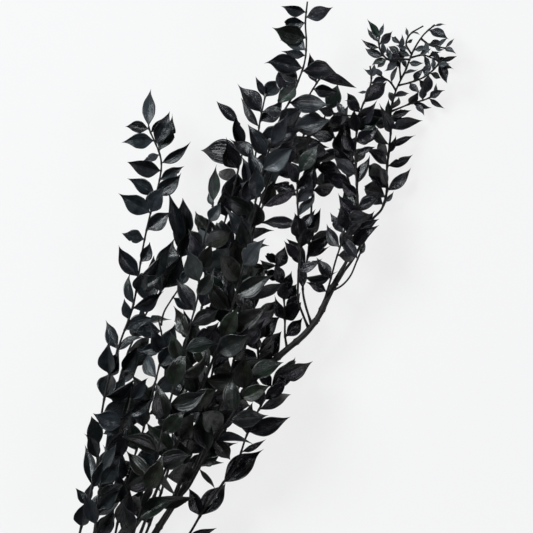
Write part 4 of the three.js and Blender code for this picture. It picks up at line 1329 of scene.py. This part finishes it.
    def relief(self, blade: Blade, u: Array, v: Array, half: Array,
               draws: Draws) -> Array:
        """The fold, cup and waves of the cross-sections.

        Args:
            blade: the blade.
            u: places along it.
            v: places across it.
            half: its half width at each place.
            draws: its stream.

        Returns:
            How far each place stands off the plane of its cross-section.
        """
        far = np.abs(v)
        fold = ((blade.fold + self.extra_fold)
                * (np.sqrt(far * far + self.crease_round) - self.crease_drop))
        cup = draws.between(*self.cup) * far ** 2
        roll_in = draws.between(*self.roll_in) * far ** 5
        wave = np.zeros_like(u)
        for side in (-1, 1):
            swing = draws.between(*self.wave) * draws.wave(u, self.wave_rates)
            wave += np.where(v * side > 0, swing * far ** 1.6, 0.0)
        pucker = (self.pucker * np.sin(u * draws.between(*self.pucker_rates) + 3 * v)
                  * (1 - far ** 2))
        return half * (fold + cup + roll_in + wave * ramp(*self.wave_starts, u) + pucker)


@dataclass(frozen=True)
class StemForm:
    """The shape of a woody stem: round, finely ridged, thicker at its joints and where it forks.

    Lengths are in millimetres. joint_rings are where the extra rings at a joint lie, grain_unit is
    the length of one unit of the stem's grain, and places are rounded to the given decimals.
    """

    sides: int = 12
    ring_step: float = 2.4
    least_step: float = 0.35
    joint_rings: tuple[float, ...] = (-1.2, 0.0, 1.2)
    decimals: int = 1
    ridges: int = 5
    ridge_share: float = 0.035
    stoutness: float = 1.02
    wobble: float = 0.03
    wobble_rates: Range = (0.15, 0.4)
    joint_share: float = 0.26
    joint_reach: float = 1.5
    fork_share: float = 0.5
    fork_reach: float = 5.0
    grain_unit: float = 10.0

    def places(self, start: float, end: float, joints: Sequence[float]) -> Array:
        """Where the rings lie.

        Args:
            start: where the length of stem begins, from the fork.
            end: where it ends.
            joints: the distances of the blades' roots.

        Returns:
            The rings' distances from the fork.
        """
        near = [joint + step for joint in joints for step in self.joint_rings]
        regular = np.arange(start, end, self.ring_step)
        places = np.unique(np.round(np.concatenate([regular, near, [start, end]]), self.decimals))
        rounding = 0.5 * 0.1 ** self.decimals
        places = places[(places >= start - rounding) & (places <= end + rounding)]
        places = np.clip(places, start, end)
        return places[np.concatenate([[True], np.diff(places) > self.least_step])]

    def radii(self, route: Route, distances: Array, joints: Sequence[float]) -> Array:
        """The stem's mean radius.

        Args:
            route: the stem's centre line.
            distances: places along it, from the fork.
            joints: the distances of the blades' roots.

        Returns:
            The radius at each place.
        """
        radii = route.radius_at(distances)
        swell = np.zeros_like(distances)
        for joint in joints:
            swell = np.maximum(swell, np.exp(-((distances - joint) / self.joint_reach) ** 2))
        return radii * self.stoutness * (1 + self.joint_share * swell)

    def add(self, parts: MeshParts, route: Route, start: float, end: float,
            joints: Sequence[float], draws: Draws, tone: float, dye: float,
            end_surface: Surface | None = None, flare: bool = False) -> None:
        """Adds a length of stem to a mesh.

        Args:
            parts: the mesh's forms.
            route: the stem's centre line.
            start: where the length begins, from the fork.
            end: where it ends.
            joints: the distances of the blades' roots.
            draws: its own stream.
            tone: how light the stem is, where 1 is a light one.
            dye: its place on the dye ramp.
            end_surface: the finish of the cut end, where it has one.
            flare: whether it widens towards its start, where it leaves the stalk.
        """
        distances = self.places(start, end, joints)
        along = route.tangent(distances)
        side = unit(np.cross(UP, along))
        angles = 2 * math.pi * np.arange(self.sides) / self.sides - math.pi / 2
        phase = draws.between(0, draws.TURN)
        ridge = self.ridge_share * np.sin(self.ridges * angles + phase)
        radii = self.radii(route, distances, joints)
        if flare:
            radii = radii * (1 + self.fork_share * np.exp(-distances / self.fork_reach))
        wobble = 1 + self.wobble * draws.wave(distances, self.wobble_rates)
        sizes = (radii * wobble)[:, None] * (1 + ridge)
        rings = tube(route.at(distances), side[:, None], np.cross(along, side)[:, None], sizes,
                     angles)
        rings[..., 2] = np.maximum(rings[..., 2], 0.0)
        parts.loft(rings, np.linspace(0.0, 1.0, self.sides + 1), distances / self.grain_unit,
                   Surface.STEM, tone, dye, end_surface)


@dataclass(frozen=True)
class ScaleForm:
    """The shape of the small dry scale under a blade's root. Lengths are in millimetres.

    places are where its rings lie along it, and girths their half widths as shares of the widest.
    On a stem of no thickness it would have the least share of its size, and growth is added for
    each millimetre of the stem's radius.
    """

    length: float = 3.4
    half_width: float = 0.75
    places: tuple[float, ...] = (0.0, 0.3, 0.65, 1.0)
    girths: tuple[float, ...] = (0.9, 1.0, 0.6, 0.08)
    least: float = 0.45
    growth: float = 0.4
    stretch: Range = (0.7, 1.25)
    drop: float = 1.4
    depth: float = 0.7
    lean_along: float = 0.75
    lean_out: Range = (0.3, 0.8)
    curve: float = 0.12
    inner: float = 0.3
    outer: float = 0.35
    least_outward: float = 0.15
    tone: float = 0.5
    dye: float = 0.2

    def add(self, parts: MeshParts, blade: Blade, along: Array, draws: Draws) -> None:
        """Adds the scale to a mesh.

        Args:
            parts: the mesh's forms.
            blade: the blade.
            along: the stem's direction at its root.
            draws: its stream.
        """
        outward = blade.along - along * (blade.along @ along)
        if np.linalg.norm(outward) < self.least_outward:
            outward = blade.face
        outward = unit(outward)
        cross = np.cross(along, outward)
        small = min(1.0, self.least + self.growth * blade.stem_radius)
        length = self.length * small * draws.between(*self.stretch)
        base = blade.root - along * self.drop * small + outward * blade.stem_radius * self.depth
        lean = unit(along * self.lean_along + outward * draws.between(*self.lean_out))
        back = np.cross(lean, cross)
        rings = []
        for place, girth in zip(self.places, self.girths):
            half = self.half_width * small * girth
            middle = base + lean * length * place - back * self.curve * length * place ** 2
            rings.append([middle - cross * half, middle - back * self.inner * half,
                          middle + cross * half, middle + back * self.outer * half])
        rings = np.array(rings)
        if np.cross(rings[0, 1] - rings[0, 0], rings[0, 2] - rings[0, 1]) @ lean < 0:
            rings = rings[:, ::-1]
        rings[..., 2] = np.maximum(rings[..., 2], FLOOR_GAP)
        parts.loft(rings, np.linspace(0, 1, rings.shape[1] + 1), np.array(self.places),
                   Surface.STEM, self.tone, self.dye)


# ---- Finishes ----


def operator(operation: str, is_reflected: bool = False) -> Callable[["Value", Input], "Value"]:
    """The method of an operator, which adds its Math node.

    Args:
        operation: the node's operation.
        is_reflected: whether the value stands on the operator's right.

    Returns:
        The method.
    """
    def apply(value: "Value", other: Input) -> "Value":
        """The operator's result."""
        return value.math(operation, *((other, value) if is_reflected else (value, other)))
    return apply


class Value:
    """A number on its way through a material's nodes. Sums with it add their Math nodes."""

    def __init__(self, tree: "Tree", socket: Socket) -> None:
        """Wraps a socket.

        Args:
            tree: the material's nodes.
            socket: the output that gives the number.
        """
        self.tree, self.socket = tree, socket

    def math(self, operation: str, *operands: Input, clamp: bool = False) -> "Value":
        """A Math node on some operands.

        Args:
            operation: the node's operation.
            operands: the numbers or values that it works on.
            clamp: whether its result is kept from 0 to 1.

        Returns:
            Its result.
        """
        settings = {"operation": operation, "use_clamp": clamp}
        node = self.tree.node("ShaderNodeMath", settings, dict(enumerate(operands)))
        return Value(self.tree, node.outputs[0])

    __add__, __radd__ = operator("ADD"), operator("ADD", is_reflected=True)
    __sub__, __rsub__ = operator("SUBTRACT"), operator("SUBTRACT", is_reflected=True)
    __mul__, __rmul__ = operator("MULTIPLY"), operator("MULTIPLY", is_reflected=True)
    __pow__ = operator("POWER")

    def __abs__(self) -> "Value":
        """The size without its sign."""
        return self.math("ABSOLUTE", self)

    def sine(self) -> "Value":
        """The sine, of radians."""
        return self.math("SINE", self)

    def rise(self, low: float, high: float) -> "Value":
        """An even rise from 0 at low to 1 at high, level beyond, or a fall where low is more."""
        share = self.math("SUBTRACT", self, low)
        return self.math("DIVIDE", share, high - low, clamp=True)


class Tree:
    """The nodes of one material, or of the room's light."""

    def __init__(self, owner: bpy.types.Material | bpy.types.World) -> None:
        """Starts with no nodes.

        Args:
            owner: the material or world that they belong to.
        """
        owner.use_nodes = True
        self.owner = owner
        self.nodes, self.links = owner.node_tree.nodes, owner.node_tree.links
        self.nodes.clear()

    def node(self, kind: str, settings: Mapping[str, object] | None = None,
             inputs: Mapping[str | int, Input] | None = None) -> bpy.types.Node:
        """Adds a node: its settings first, then what its sockets hold or are linked to.

        Args:
            kind: the node's type.
            settings: its own settings. stops holds a colour ramp's places and colours.
            inputs: numbers, colours, values or sockets by the input's name or number.

        Returns:
            The node.
        """
        node = self.nodes.new(kind)
        for name, value in (settings or {}).items():
            if name == "stops":
                self.set_stops(node.color_ramp, value)
            else:
                setattr(node, name, value)
        for name, value in (inputs or {}).items():
            source = value.socket if isinstance(value, Value) else value
            if isinstance(source, Socket):
                self.links.new(source, node.inputs[name])
            else:
                node.inputs[name].default_value = source
        return node

    def set_stops(self, band: bpy.types.ColorRamp, stops: Sequence[tuple[float, Colour]]) -> None:
        """Gives a colour ramp its stops. Those that are added are moved to their places at once.

        Args:
            band: the ramp.
            stops: the place and colour of each, in order.
        """
        while len(band.elements) < len(stops):
            band.elements.new(0.5)
        for element, (place, colour) in zip(band.elements, stops):
            element.position, element.color = place, colour

    def attribute(self, name: str) -> Value:
        """A number that the mesh holds at each point."""
        node = self.node("ShaderNodeAttribute", {"attribute_name": name})
        return Value(self, node.outputs["Fac"])

    def grain(self) -> tuple[Value, Value]:
        """The form's own grain.

        Returns:
            Its coordinates across or around the form, and along it.
        """
        place = self.node("ShaderNodeUVMap", {"uv_map": "grain"})
        split = self.node("ShaderNodeSeparateXYZ", inputs={0: place.outputs[0]})
        return Value(self, split.outputs[0]), Value(self, split.outputs[1])

    def joined(self, x: Input, y: Input, z: Input) -> Socket:
        """A vector from three numbers."""
        return self.node("ShaderNodeCombineXYZ", inputs={0: x, 1: y, 2: z}).outputs[0]

    def noise(self, scale: float, detail: float = 2.0, rough: float = 0.5,
              vector: Socket | None = None) -> Value:
        """Soft noise from 0 to 1.

        Args:
            scale: the number of its blotches in a unit.
            detail: its octaves.
            rough: the share of the finer ones.
            vector: where it is read, or None for the piece's own place in metres.

        Returns:
            The noise.
        """
        if vector is None:
            vector = self.node("ShaderNodeTexCoord").outputs["Object"]
        node = self.node("ShaderNodeTexNoise", inputs={
            "Vector": vector, "Scale": scale, "Detail": detail, "Roughness": rough})
        return Value(self, node.outputs[0])

    def colour(self, share: Value, stops: Sequence[tuple[float, Colour]]) -> Socket:
        """A colour from a ramp."""
        node = self.node("ShaderNodeValToRGB", {"stops": stops}, {0: share})
        return node.outputs[0]

    def blend(self, share: Input, low: Input, high: Input) -> Socket:
        """A colour the given share of the way from low to high."""
        node = self.node("ShaderNodeMix", {"data_type": "RGBA"}, {0: share, 6: low, 7: high})
        return node.outputs[2]

    def bump(self, height: Value, strength: float, distance: float) -> Socket:
        """A normal from a height.

        Args:
            height: the height, in units of the distance.
            strength: how much of it shows.
            distance: its unit, in metres.

        Returns:
            The normal.
        """
        node = self.node("ShaderNodeBump", inputs={
            "Height": height, "Strength": strength, "Distance": distance})
        return node.outputs[0]

    def finish(self, inputs: Mapping[str | int, Input]) -> bpy.types.Material:
        """Ends the material in a Principled shader.

        Args:
            inputs: what the shader's sockets hold or are linked to.

        Returns:
            The material.
        """
        shader = self.node("ShaderNodeBsdfPrincipled", inputs=inputs)
        self.node("ShaderNodeOutputMaterial", inputs={"Surface": shader.outputs[0]})
        return self.owner


@dataclass(frozen=True)
class LeafFinish:
    """Dyed, dried leaf: near black, with a soft sheen, partly painted in pale streaks and mottle,
    parallel veins, and dust-grey worn edges.

    The five dyes lie evenly along the dye ramp. Scales are of the noises read in metres, relief is
    the unit of the bumps in metres, and the wear values are how much each place is rubbed pale.
    """

    name: str = "dyed_leaf"
    soot: Colour = (0.0080, 0.0073, 0.0108, 1.0)
    ash: Colour = (0.0155, 0.0162, 0.0200, 1.0)
    slate: Colour = (0.0132, 0.0186, 0.0222, 1.0)
    olive: Colour = (0.0112, 0.0116, 0.0076, 1.0)
    bottle: Colour = (0.0078, 0.0200, 0.0135, 1.0)
    worn: Colour = (0.044, 0.048, 0.050, 1.0)
    # A pale grey-teal that stands partly for faded dye and partly for painted sheen.
    fade_and_sheen: Colour = (0.070, 0.084, 0.088, 1.0)
    veins: float = 7.0
    blotch_scale: float = 110.0
    crinkle_scale: float = 430.0
    grit_scale: float = 1500.0
    edge_wear: float = 0.3
    tip_wear: float = 0.3
    rib_wear: float = 0.1
    vein_wear: float = 0.03
    grit_wear: float = 0.25
    roughness: float = 0.23
    ior: float = 1.45
    relief: float = 0.0005

    def material(self) -> bpy.types.Material:
        """Makes the material.

        Returns:
            The material, which reads the grain, tone and dye of the mesh.
        """
        tree = Tree(bpy.data.materials.new(self.name))
        across, along = tree.grain()
        tone, dye = tree.attribute("tone"), tree.attribute("dye")
        streaks = tree.noise(3.0, 2.5, 0.5, tree.joined(across * 1.7, along * 0.9, tone * 40))
        blotches = tree.noise(self.blotch_scale, 3.0, 0.55)
        grit = tree.noise(self.grit_scale, 2.0, 0.6)
        crinkle = tree.noise(self.crinkle_scale, 3.0, 0.65)
        fibres = tree.noise(3.0, 3.0, 0.6, tree.joined(across * 6, along * 1.3, tone * 60))
        veins = ((across * (self.veins * math.pi) + streaks * 2.4).sine() * 0.5 + 0.5) ** 2.5
        rib = 1 - abs(across).rise(0.0, 0.07)
        edge = abs(across).rise(0.82, 1.0) * blotches.rise(0.35, 0.65)
        tip = along.rise(0.9, 1.0)
        dyes = (self.soot, self.ash, self.slate, self.olive, self.bottle)
        stops = [(place / (len(dyes) - 1), colour) for place, colour in enumerate(dyes)]
        base = tree.colour(dye + (blotches - 0.5) * 0.3, stops)
        # light scales the dye's colour by the blade's tone, which carries its painted height shade,
        # and by streaks and mottle that partly paint an uneven, streaky sheen.
        mottle = blotches.rise(0.36, 0.64)
        light = (tone * tone * 1.1 + streaks.rise(0.35, 0.65) * 0.4 + fibres * 0.4
                 + crinkle.rise(0.4, 0.65) * 0.2) * (mottle + 0.4)
        # Painted sheen, partly faded dye: the lightest-toned blades pass in streaks towards the
        # pale grey-teal.
        pale = tone.rise(0.86, 1.0) * (fibres * 0.5 + streaks * 0.5)
        dull = dye.rise(0.22, 0.0)
        light = light * (1 - dull * 0.25)
        lit = tree.node("ShaderNodeVectorMath", {"operation": "SCALE"}, {0: base, "Scale": light})
        wear = (edge * self.edge_wear + tip * self.tip_wear + rib * self.rib_wear
                + veins * self.vein_wear + grit.rise(0.68, 0.85) * self.grit_wear)
        coloured = tree.blend(wear, tree.blend(pale * 0.85, lit.outputs[0], self.fade_and_sheen), self.worn)
        height = (streaks * 0.85 + veins * 0.12 + fibres * 0.4 + crinkle * 0.45 + blotches * 0.5
                  + grit * 0.1 - rib * 0.3)
        return tree.finish({
            "Base Color": coloured,
            "Roughness": self.roughness + fibres * 0.2 - mottle * 0.06 - dull * 0.04 + edge * 0.15,
            "IOR": self.ior,
            "Normal": tree.bump(height, 1.0, self.relief),
        })


@dataclass(frozen=True)
class StemFinish:
    """Dyed woody stem: dull brown-black, with fine ridges along it, rubbed high spots, and lighter
    lengthwise streaks that partly paint a highlight along it.
    """

    name: str = "dyed_stem"
    dark: Colour = (0.0036, 0.0033, 0.0036, 1.0)
    # The lighter colour of the lengthwise streaks, partly a painted highlight along the stem.
    light: Colour = (0.0145, 0.0136, 0.0134, 1.0)
    rubbed: Colour = (0.062, 0.057, 0.053, 1.0)
    ridges: float = 6.0
    blotch_scale: float = 160.0
    roughness: float = 0.50
    ior: float = 1.34
    relief: float = 0.0005

    def material(self) -> bpy.types.Material:
        """Makes the material.

        Returns:
            The material, which reads the grain and tone of the mesh.
        """
        tree = Tree(bpy.data.materials.new(self.name))
        around, along = tree.grain()
        tone = tree.attribute("tone")
        turn = around * (2 * math.pi)
        flow = tree.noise(2.0, 3.0, 0.6, tree.joined(turn.sine() * 2.6, along * 0.6, tone * 30))
        blotches = tree.noise(self.blotch_scale, 3.0, 0.6)
        ridges = (turn * self.ridges + flow * 5).sine() * 0.5 + 0.5
        cracks = blotches.rise(0.62, 0.7)
        # Lengthwise streaks between the dark and light colours, partly a painted highlight along
        # the stem.
        colour = tree.blend(flow.rise(0.36, 0.62) * 0.6 + ridges * 0.3 + tone * 0.1,
                            self.dark, self.light)
        rubbing = cracks * 0.4 + ridges * flow.rise(0.45, 0.7) * 0.45
        coloured = tree.blend(rubbing, colour, self.rubbed)
        height = ridges * 0.7 + flow * 0.6 + blotches * 0.4
        return tree.finish({
            "Base Color": coloured,
            "Roughness": self.roughness + flow * 0.2 - ridges * 0.06,
            "IOR": self.ior,
            "Normal": tree.bump(height, 0.9, self.relief),
        })


@dataclass(frozen=True)
class CutFinish:
    """The cut end of the stalk: brown wood that the dye stained unevenly."""

    name: str = "cut_wood"
    wood: Colour = (0.055, 0.045, 0.036, 1.0)
    stained: Colour = (0.016, 0.014, 0.013, 1.0)
    fibre_scale: float = 2600.0
    stain_scale: float = 420.0
    roughness: float = 0.75
    relief: float = 0.0003

    def material(self) -> bpy.types.Material:
        """Makes the material.

        Returns:
            The material.
        """
        tree = Tree(bpy.data.materials.new(self.name))
        fibres = tree.noise(self.fibre_scale, 3.0, 0.7)
        stain = tree.noise(self.stain_scale, 2.0, 0.5)
        coloured = tree.blend(fibres * 0.6 + stain.rise(0.4, 0.6) * 0.4, self.wood, self.stained)
        return tree.finish({
            "Base Color": coloured,
            "Roughness": self.roughness + fibres * 0.15,
            "Normal": tree.bump(fibres, 0.7, self.relief),
        })


@dataclass(frozen=True)
class FloorFinish:
    """Plain pale matt board that is lit through, so that shadows on it stay faint."""

    name: str = "pale_board"
    colour: Colour = (0.12, 0.12, 0.12, 1.0)
    glow: float = 0.80
    glow_colour: Colour = (1.0, 1.0, 1.0, 1.0)
    fibre_scale: float = 900.0
    roughness: float = 0.9
    specular: float = 0.1

    def material(self) -> bpy.types.Material:
        """Makes the material.

        Returns:
            The material.
        """
        tree = Tree(bpy.data.materials.new(self.name))
        fibre = tree.noise(self.fibre_scale)
        return tree.finish({
            "Base Color": self.colour,
            "Roughness": self.roughness + fibre * 0.05,
            "Specular IOR Level": self.specular,
            "Emission Color": self.glow_colour,
            "Emission Strength": self.glow,
        })


# ---- Sub-assemblies ----


@dataclass
class LeafyShoot:
    """A shoot with its twigs and blades, from where it leaves the stalk to its tip.

    sunk is how far, in millimetres, it reaches back into the stalk's stub. Between the distances
    young_from from the foot, its dye passes to the young one, if that is lower on the ramp.
    """

    node: str
    stems: Sequence[Grown]
    materials: Sequence[bpy.types.Material]
    blade_form: BladeForm = BladeForm()
    stem_form: StemForm = StemForm()
    scale_form: ScaleForm = ScaleForm()
    sunk: float = 3.0
    stem_tones: Range = (0.2, 0.8)
    young_dye: float = 0.4
    young_from: Range = (460.0, 580.0)

    def build(self) -> bpy.types.Object:
        """Builds the shoot's piece.

        Returns:
            The piece, in place, with its finishes.
        """
        parts = MeshParts()
        for grown in self.stems:
            self.add_stem(parts, grown)
            for number, blade in enumerate(grown.blades):
                draws = Draws(SHAPE_SEED[0] * (grown.index + 1) + SHAPE_SEED[1] * number)
                young = ramp(*self.young_from, blade.root[1])
                dye = mix(grown.plan.dye.value, min(grown.plan.dye.value, self.young_dye), young)
                self.blade_form.add(parts, blade, draws, dye)
                self.scale_form.add(parts, blade, grown.route.tangent(blade.distance), draws)
        return self.dress(parts)

    def add_stem(self, parts: MeshParts, grown: Grown) -> None:
        """Adds the shoot's own stem, or one of its twigs.

        Args:
            parts: the mesh's forms.
            grown: the stem and its blades.
        """
        route = grown.route
        joints = [blade.distance for blade in grown.blades]
        draws = Draws(STEM_SEED * (grown.index + 1))
        self.stem_form.add(parts, route, max(0.0, route.stub - self.sunk), route.length, joints,
                           draws, draws.between(*self.stem_tones), grown.plan.dye.value,
                           flare=route.stub == 0)

    def dress(self, parts: MeshParts) -> bpy.types.Object:
        """Makes the mesh and puts the piece in the place of its node.

        Args:
            parts: the mesh's forms.

        Returns:
            The piece.
        """
        name = self.node.replace("_shoot", "_spray")
        piece = parts.to_object(name, self.materials[:Surface.CUT])
        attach(piece, "root")
        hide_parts(self.node)
        return piece


@dataclass
class Stalk:
    """The leading stalk with its cut foot and the stubs that its shoots fork from.

    Its joints follow each other at the given spacing, each shifted by chance. Lengths are in
    millimetres. A spur's places lie along it, and its girths are shares of its radius.
    """

    stem: Grown
    shoots: Sequence[Grown]
    materials: Sequence[bpy.types.Material]
    form: StemForm = StemForm(sides=20, ridges=7, ring_step=3.0, stoutness=1.1)
    stub_form: StemForm = StemForm()
    dye: float = Dye.SOOT.value
    tone: float = 0.2
    stub_tone: float = 0.5
    first_joint: float = 30.0
    joint_every: float = 23.0
    joint_shift: Range = (-5.0, 5.0)
    spur_length: Range = (0.6, 3.4)
    spur_radius: float = 0.95
    spur_places: tuple[float, ...] = (0.0, 0.35, 0.55, 0.8, 0.93, 1.0)
    spur_girths: tuple[float, ...] = (1.9, 1.6, 1.3, 1.1, 1.0, 0.6)
    spur_sides: int = 10
    spur_lean: Range = (0.8, 1.6)
    spur_lift: Range = (0.0, 0.7)
    spur_tone: float = 0.6

    def build(self) -> bpy.types.Object:
        """Builds the stalk's piece.

        Returns:
            The piece, in place, with its finishes.
        """
        parts = MeshParts()
        draws = Draws(STALK_SEED)
        route = self.stem.route
        joints = [joint + draws.between(*self.joint_shift)
                  for joint in np.arange(self.first_joint, route.length, self.joint_every)]
        self.form.add(parts, route, 0.0, route.length, joints, draws, self.tone, self.dye,
                      Surface.CUT)
        for shoot in self.shoots:
            if shoot.route.stub > 0:
                self.stub_form.add(parts, shoot.route, 0.0, shoot.route.stub, [],
                                   Draws(STEM_SEED * (shoot.index + 1)), self.stub_tone, self.dye,
                                   flare=True)
        for number, joint in enumerate(joints):
            self.add_spur(parts, joint, 1 if number % 2 else -1, draws)
        _, wood, cut = self.materials
        piece = parts.to_object("leading_stalk", [wood, wood, cut])
        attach(piece, "root")
        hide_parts("stalk")
        return piece

    def add_spur(self, parts: MeshParts, joint: float, side: int, draws: Draws) -> None:
        """Adds the short spur that a lost leaf or twig left at a joint of the stalk.

        Args:
            parts: the mesh's forms.
            joint: the joint's distance along the stalk.
            side: 1 for the left and -1 for the right.
            draws: the stalk's stream.
        """
        along = self.stem.route.tangent(joint)
        outward = unit(np.cross(UP, along)) * side
        up = np.cross(along, outward) * side
        lean = unit(along * draws.between(*self.spur_lean) + outward
                    + up * draws.between(*self.spur_lift))
        level = unit(np.cross(lean, UP))
        reach = self.stem.route.radius_at(joint) + draws.between(*self.spur_length)
        places = np.array(self.spur_places) * reach
        girths = self.spur_radius * np.array(self.spur_girths)
        angles = 2 * math.pi * np.arange(self.spur_sides) / self.spur_sides
        rings = tube(self.stem.route.at(joint) + lean * places[:, None], level,
                     np.cross(lean, level), girths[:, None], angles)
        rings[..., 2] = np.maximum(rings[..., 2], FLOOR_GAP)
        parts.loft(rings, np.linspace(0.0, 1.0, self.spur_sides + 1),
                   places / self.form.grain_unit, Surface.STEM, self.spur_tone, self.dye)


# ---- Studio ----


@dataclass(frozen=True)
class SoftBox:
    """A square area lamp that looks at the middle of the view. Lengths are in metres."""

    name: str
    place: tuple[float, float, float]
    size: float
    power: float
    colour: tuple[float, float, float] = (1.0, 1.0, 1.0)

    def build(self, target: Vector) -> bpy.types.Object:
        """Hangs the lamp.

        Args:
            target: the point that it looks at.

        Returns:
            The lamp.
        """
        data = bpy.data.lights.new(self.name, "AREA")
        data.size, data.energy, data.color = self.size, self.power, self.colour
        lamp = bpy.data.objects.new(self.name, data)
        lamp.location = self.place
        lamp.rotation_euler = (target - lamp.location).to_track_quat("-Z", "Y").to_euler()
        bpy.context.scene.collection.objects.link(lamp)
        return lamp


@dataclass(frozen=True)
class Studio:
    """The pale floor, the soft light and the camera over the middle of the view, in metres.

    room holds the colours of the room's light from the horizon to the zenith, and sky its
    strength. The floor lies a little under the stem, by floor_drop.
    """

    middle: tuple[float, float, float] = (0.1965, 0.4535, 0.045)
    view_width: float = 0.533
    camera_height: float = 3.4
    floor_radius: float = 9.0
    floor_sides: int = 48
    floor_drop: float = 0.0002
    sensor: float = 36.0
    clip: Range = (0.05, 60.0)
    sky: float = 0.065
    room: tuple[tuple[float, Colour], ...] = (
        (0.0, (1.0, 1.0, 1.0, 1.0)), (0.42, (0.84, 0.84, 0.95, 1.0)),
        (0.8, (0.05, 0.05, 0.06, 1.0)))
    boxes: tuple[SoftBox, ...] = (
        SoftBox("key_box", (-1.6, 1.9, 2.2), 1.3, 128.0, (0.92, 0.97, 1.0)),
        SoftBox("fill_box", (1.9, 0.2, 1.9), 1.1, 18.0, (0.92, 0.9, 1.0)),
    )

    def build(self) -> None:
        """Sets up the floor, the light and the camera."""
        self.add_floor()
        self.add_light()
        self.add_camera()

    def add_floor(self) -> None:
        """Lays the floor under the stem."""
        mesh = bpy.data.meshes.new("floor")
        corners = [(self.floor_radius * math.cos(a), self.floor_radius * math.sin(a), 0.0)
                   for a in np.linspace(0, 2 * math.pi, self.floor_sides + 1)[:-1]]
        mesh.from_pydata(corners, [], [tuple(range(len(corners)))])
        mesh.materials.append(FloorFinish().material())
        floor = bpy.data.objects.new("floor", mesh)
        floor.location.z = -self.floor_drop
        bpy.context.scene.collection.objects.link(floor)
        floor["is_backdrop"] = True

    def add_light(self) -> None:
        """Hangs the lamps and gives the room its light, pale at the horizon and near black
        overhead.
        """
        world = bpy.data.worlds.new("room")
        tree = Tree(world)
        place = tree.node("ShaderNodeTexCoord").outputs["Generated"]
        height = tree.node("ShaderNodeSeparateXYZ", inputs={0: place}).outputs[2]
        walls = tree.node("ShaderNodeValToRGB", {"stops": self.room}, {0: height})
        light = tree.node("ShaderNodeBackground", inputs={0: walls.outputs[0], 1: self.sky})
        tree.node("ShaderNodeOutputWorld", inputs={0: light.outputs[0]})
        bpy.context.scene.world = world
        for box in self.boxes:
            box.build(Vector(self.middle))

    def add_camera(self) -> None:
        """Points the camera straight down at the middle of the view."""
        data = bpy.data.cameras.new("overhead")
        data.sensor_width = self.sensor
        distance = self.camera_height - self.middle[2]
        data.lens = self.sensor * distance / self.view_width
        data.clip_start, data.clip_end = self.clip
        camera = bpy.data.objects.new("overhead", data)
        camera.location = (self.middle[0], self.middle[1], self.camera_height)
        bpy.context.scene.collection.objects.link(camera)
        bpy.context.scene.camera = camera
        bpy.context.scene.view_settings.view_transform = "Standard"


# ---- Assembly ----


def nodes_in_order(spray: Sequence[Grown]) -> Iterator[tuple[str, list[Grown]]]:
    """Gathers the stems by the node that they belong to.

    Args:
        spray: the stems, the stalk first.

    Returns:
        Each shoot's node with its own stem and its twigs.
    """
    for shoot in spray[1:]:
        if shoot.plan.node is None:
            name = shoot.plan.name
            yield name, [grown for grown in spray if name in (grown.plan.name, grown.plan.node)]


def report(piece: bpy.types.Object) -> None:
    """Logs a piece's name and size."""
    LOG.info("%s: %d faces", piece.name, len(piece.data.polygons))


def main(solid_box: Sequence[Vector]) -> None:
    """Builds the stem and the studio.

    Args:
        solid_box: the corners of the solids' box; not used.
    """
    logging.basicConfig(level=logging.INFO, format="%(name)s %(message)s")
    Studio().build()
    spray = grow_spray()
    materials = [finish.material() for finish in (LeafFinish(), StemFinish(), CutFinish())]
    report(Stalk(spray[0], spray[1:], materials).build())
    for node, stems in nodes_in_order(spray):
        report(LeafyShoot(node, stems, materials).build())


if __name__ == "__main__":
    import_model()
    main(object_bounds())
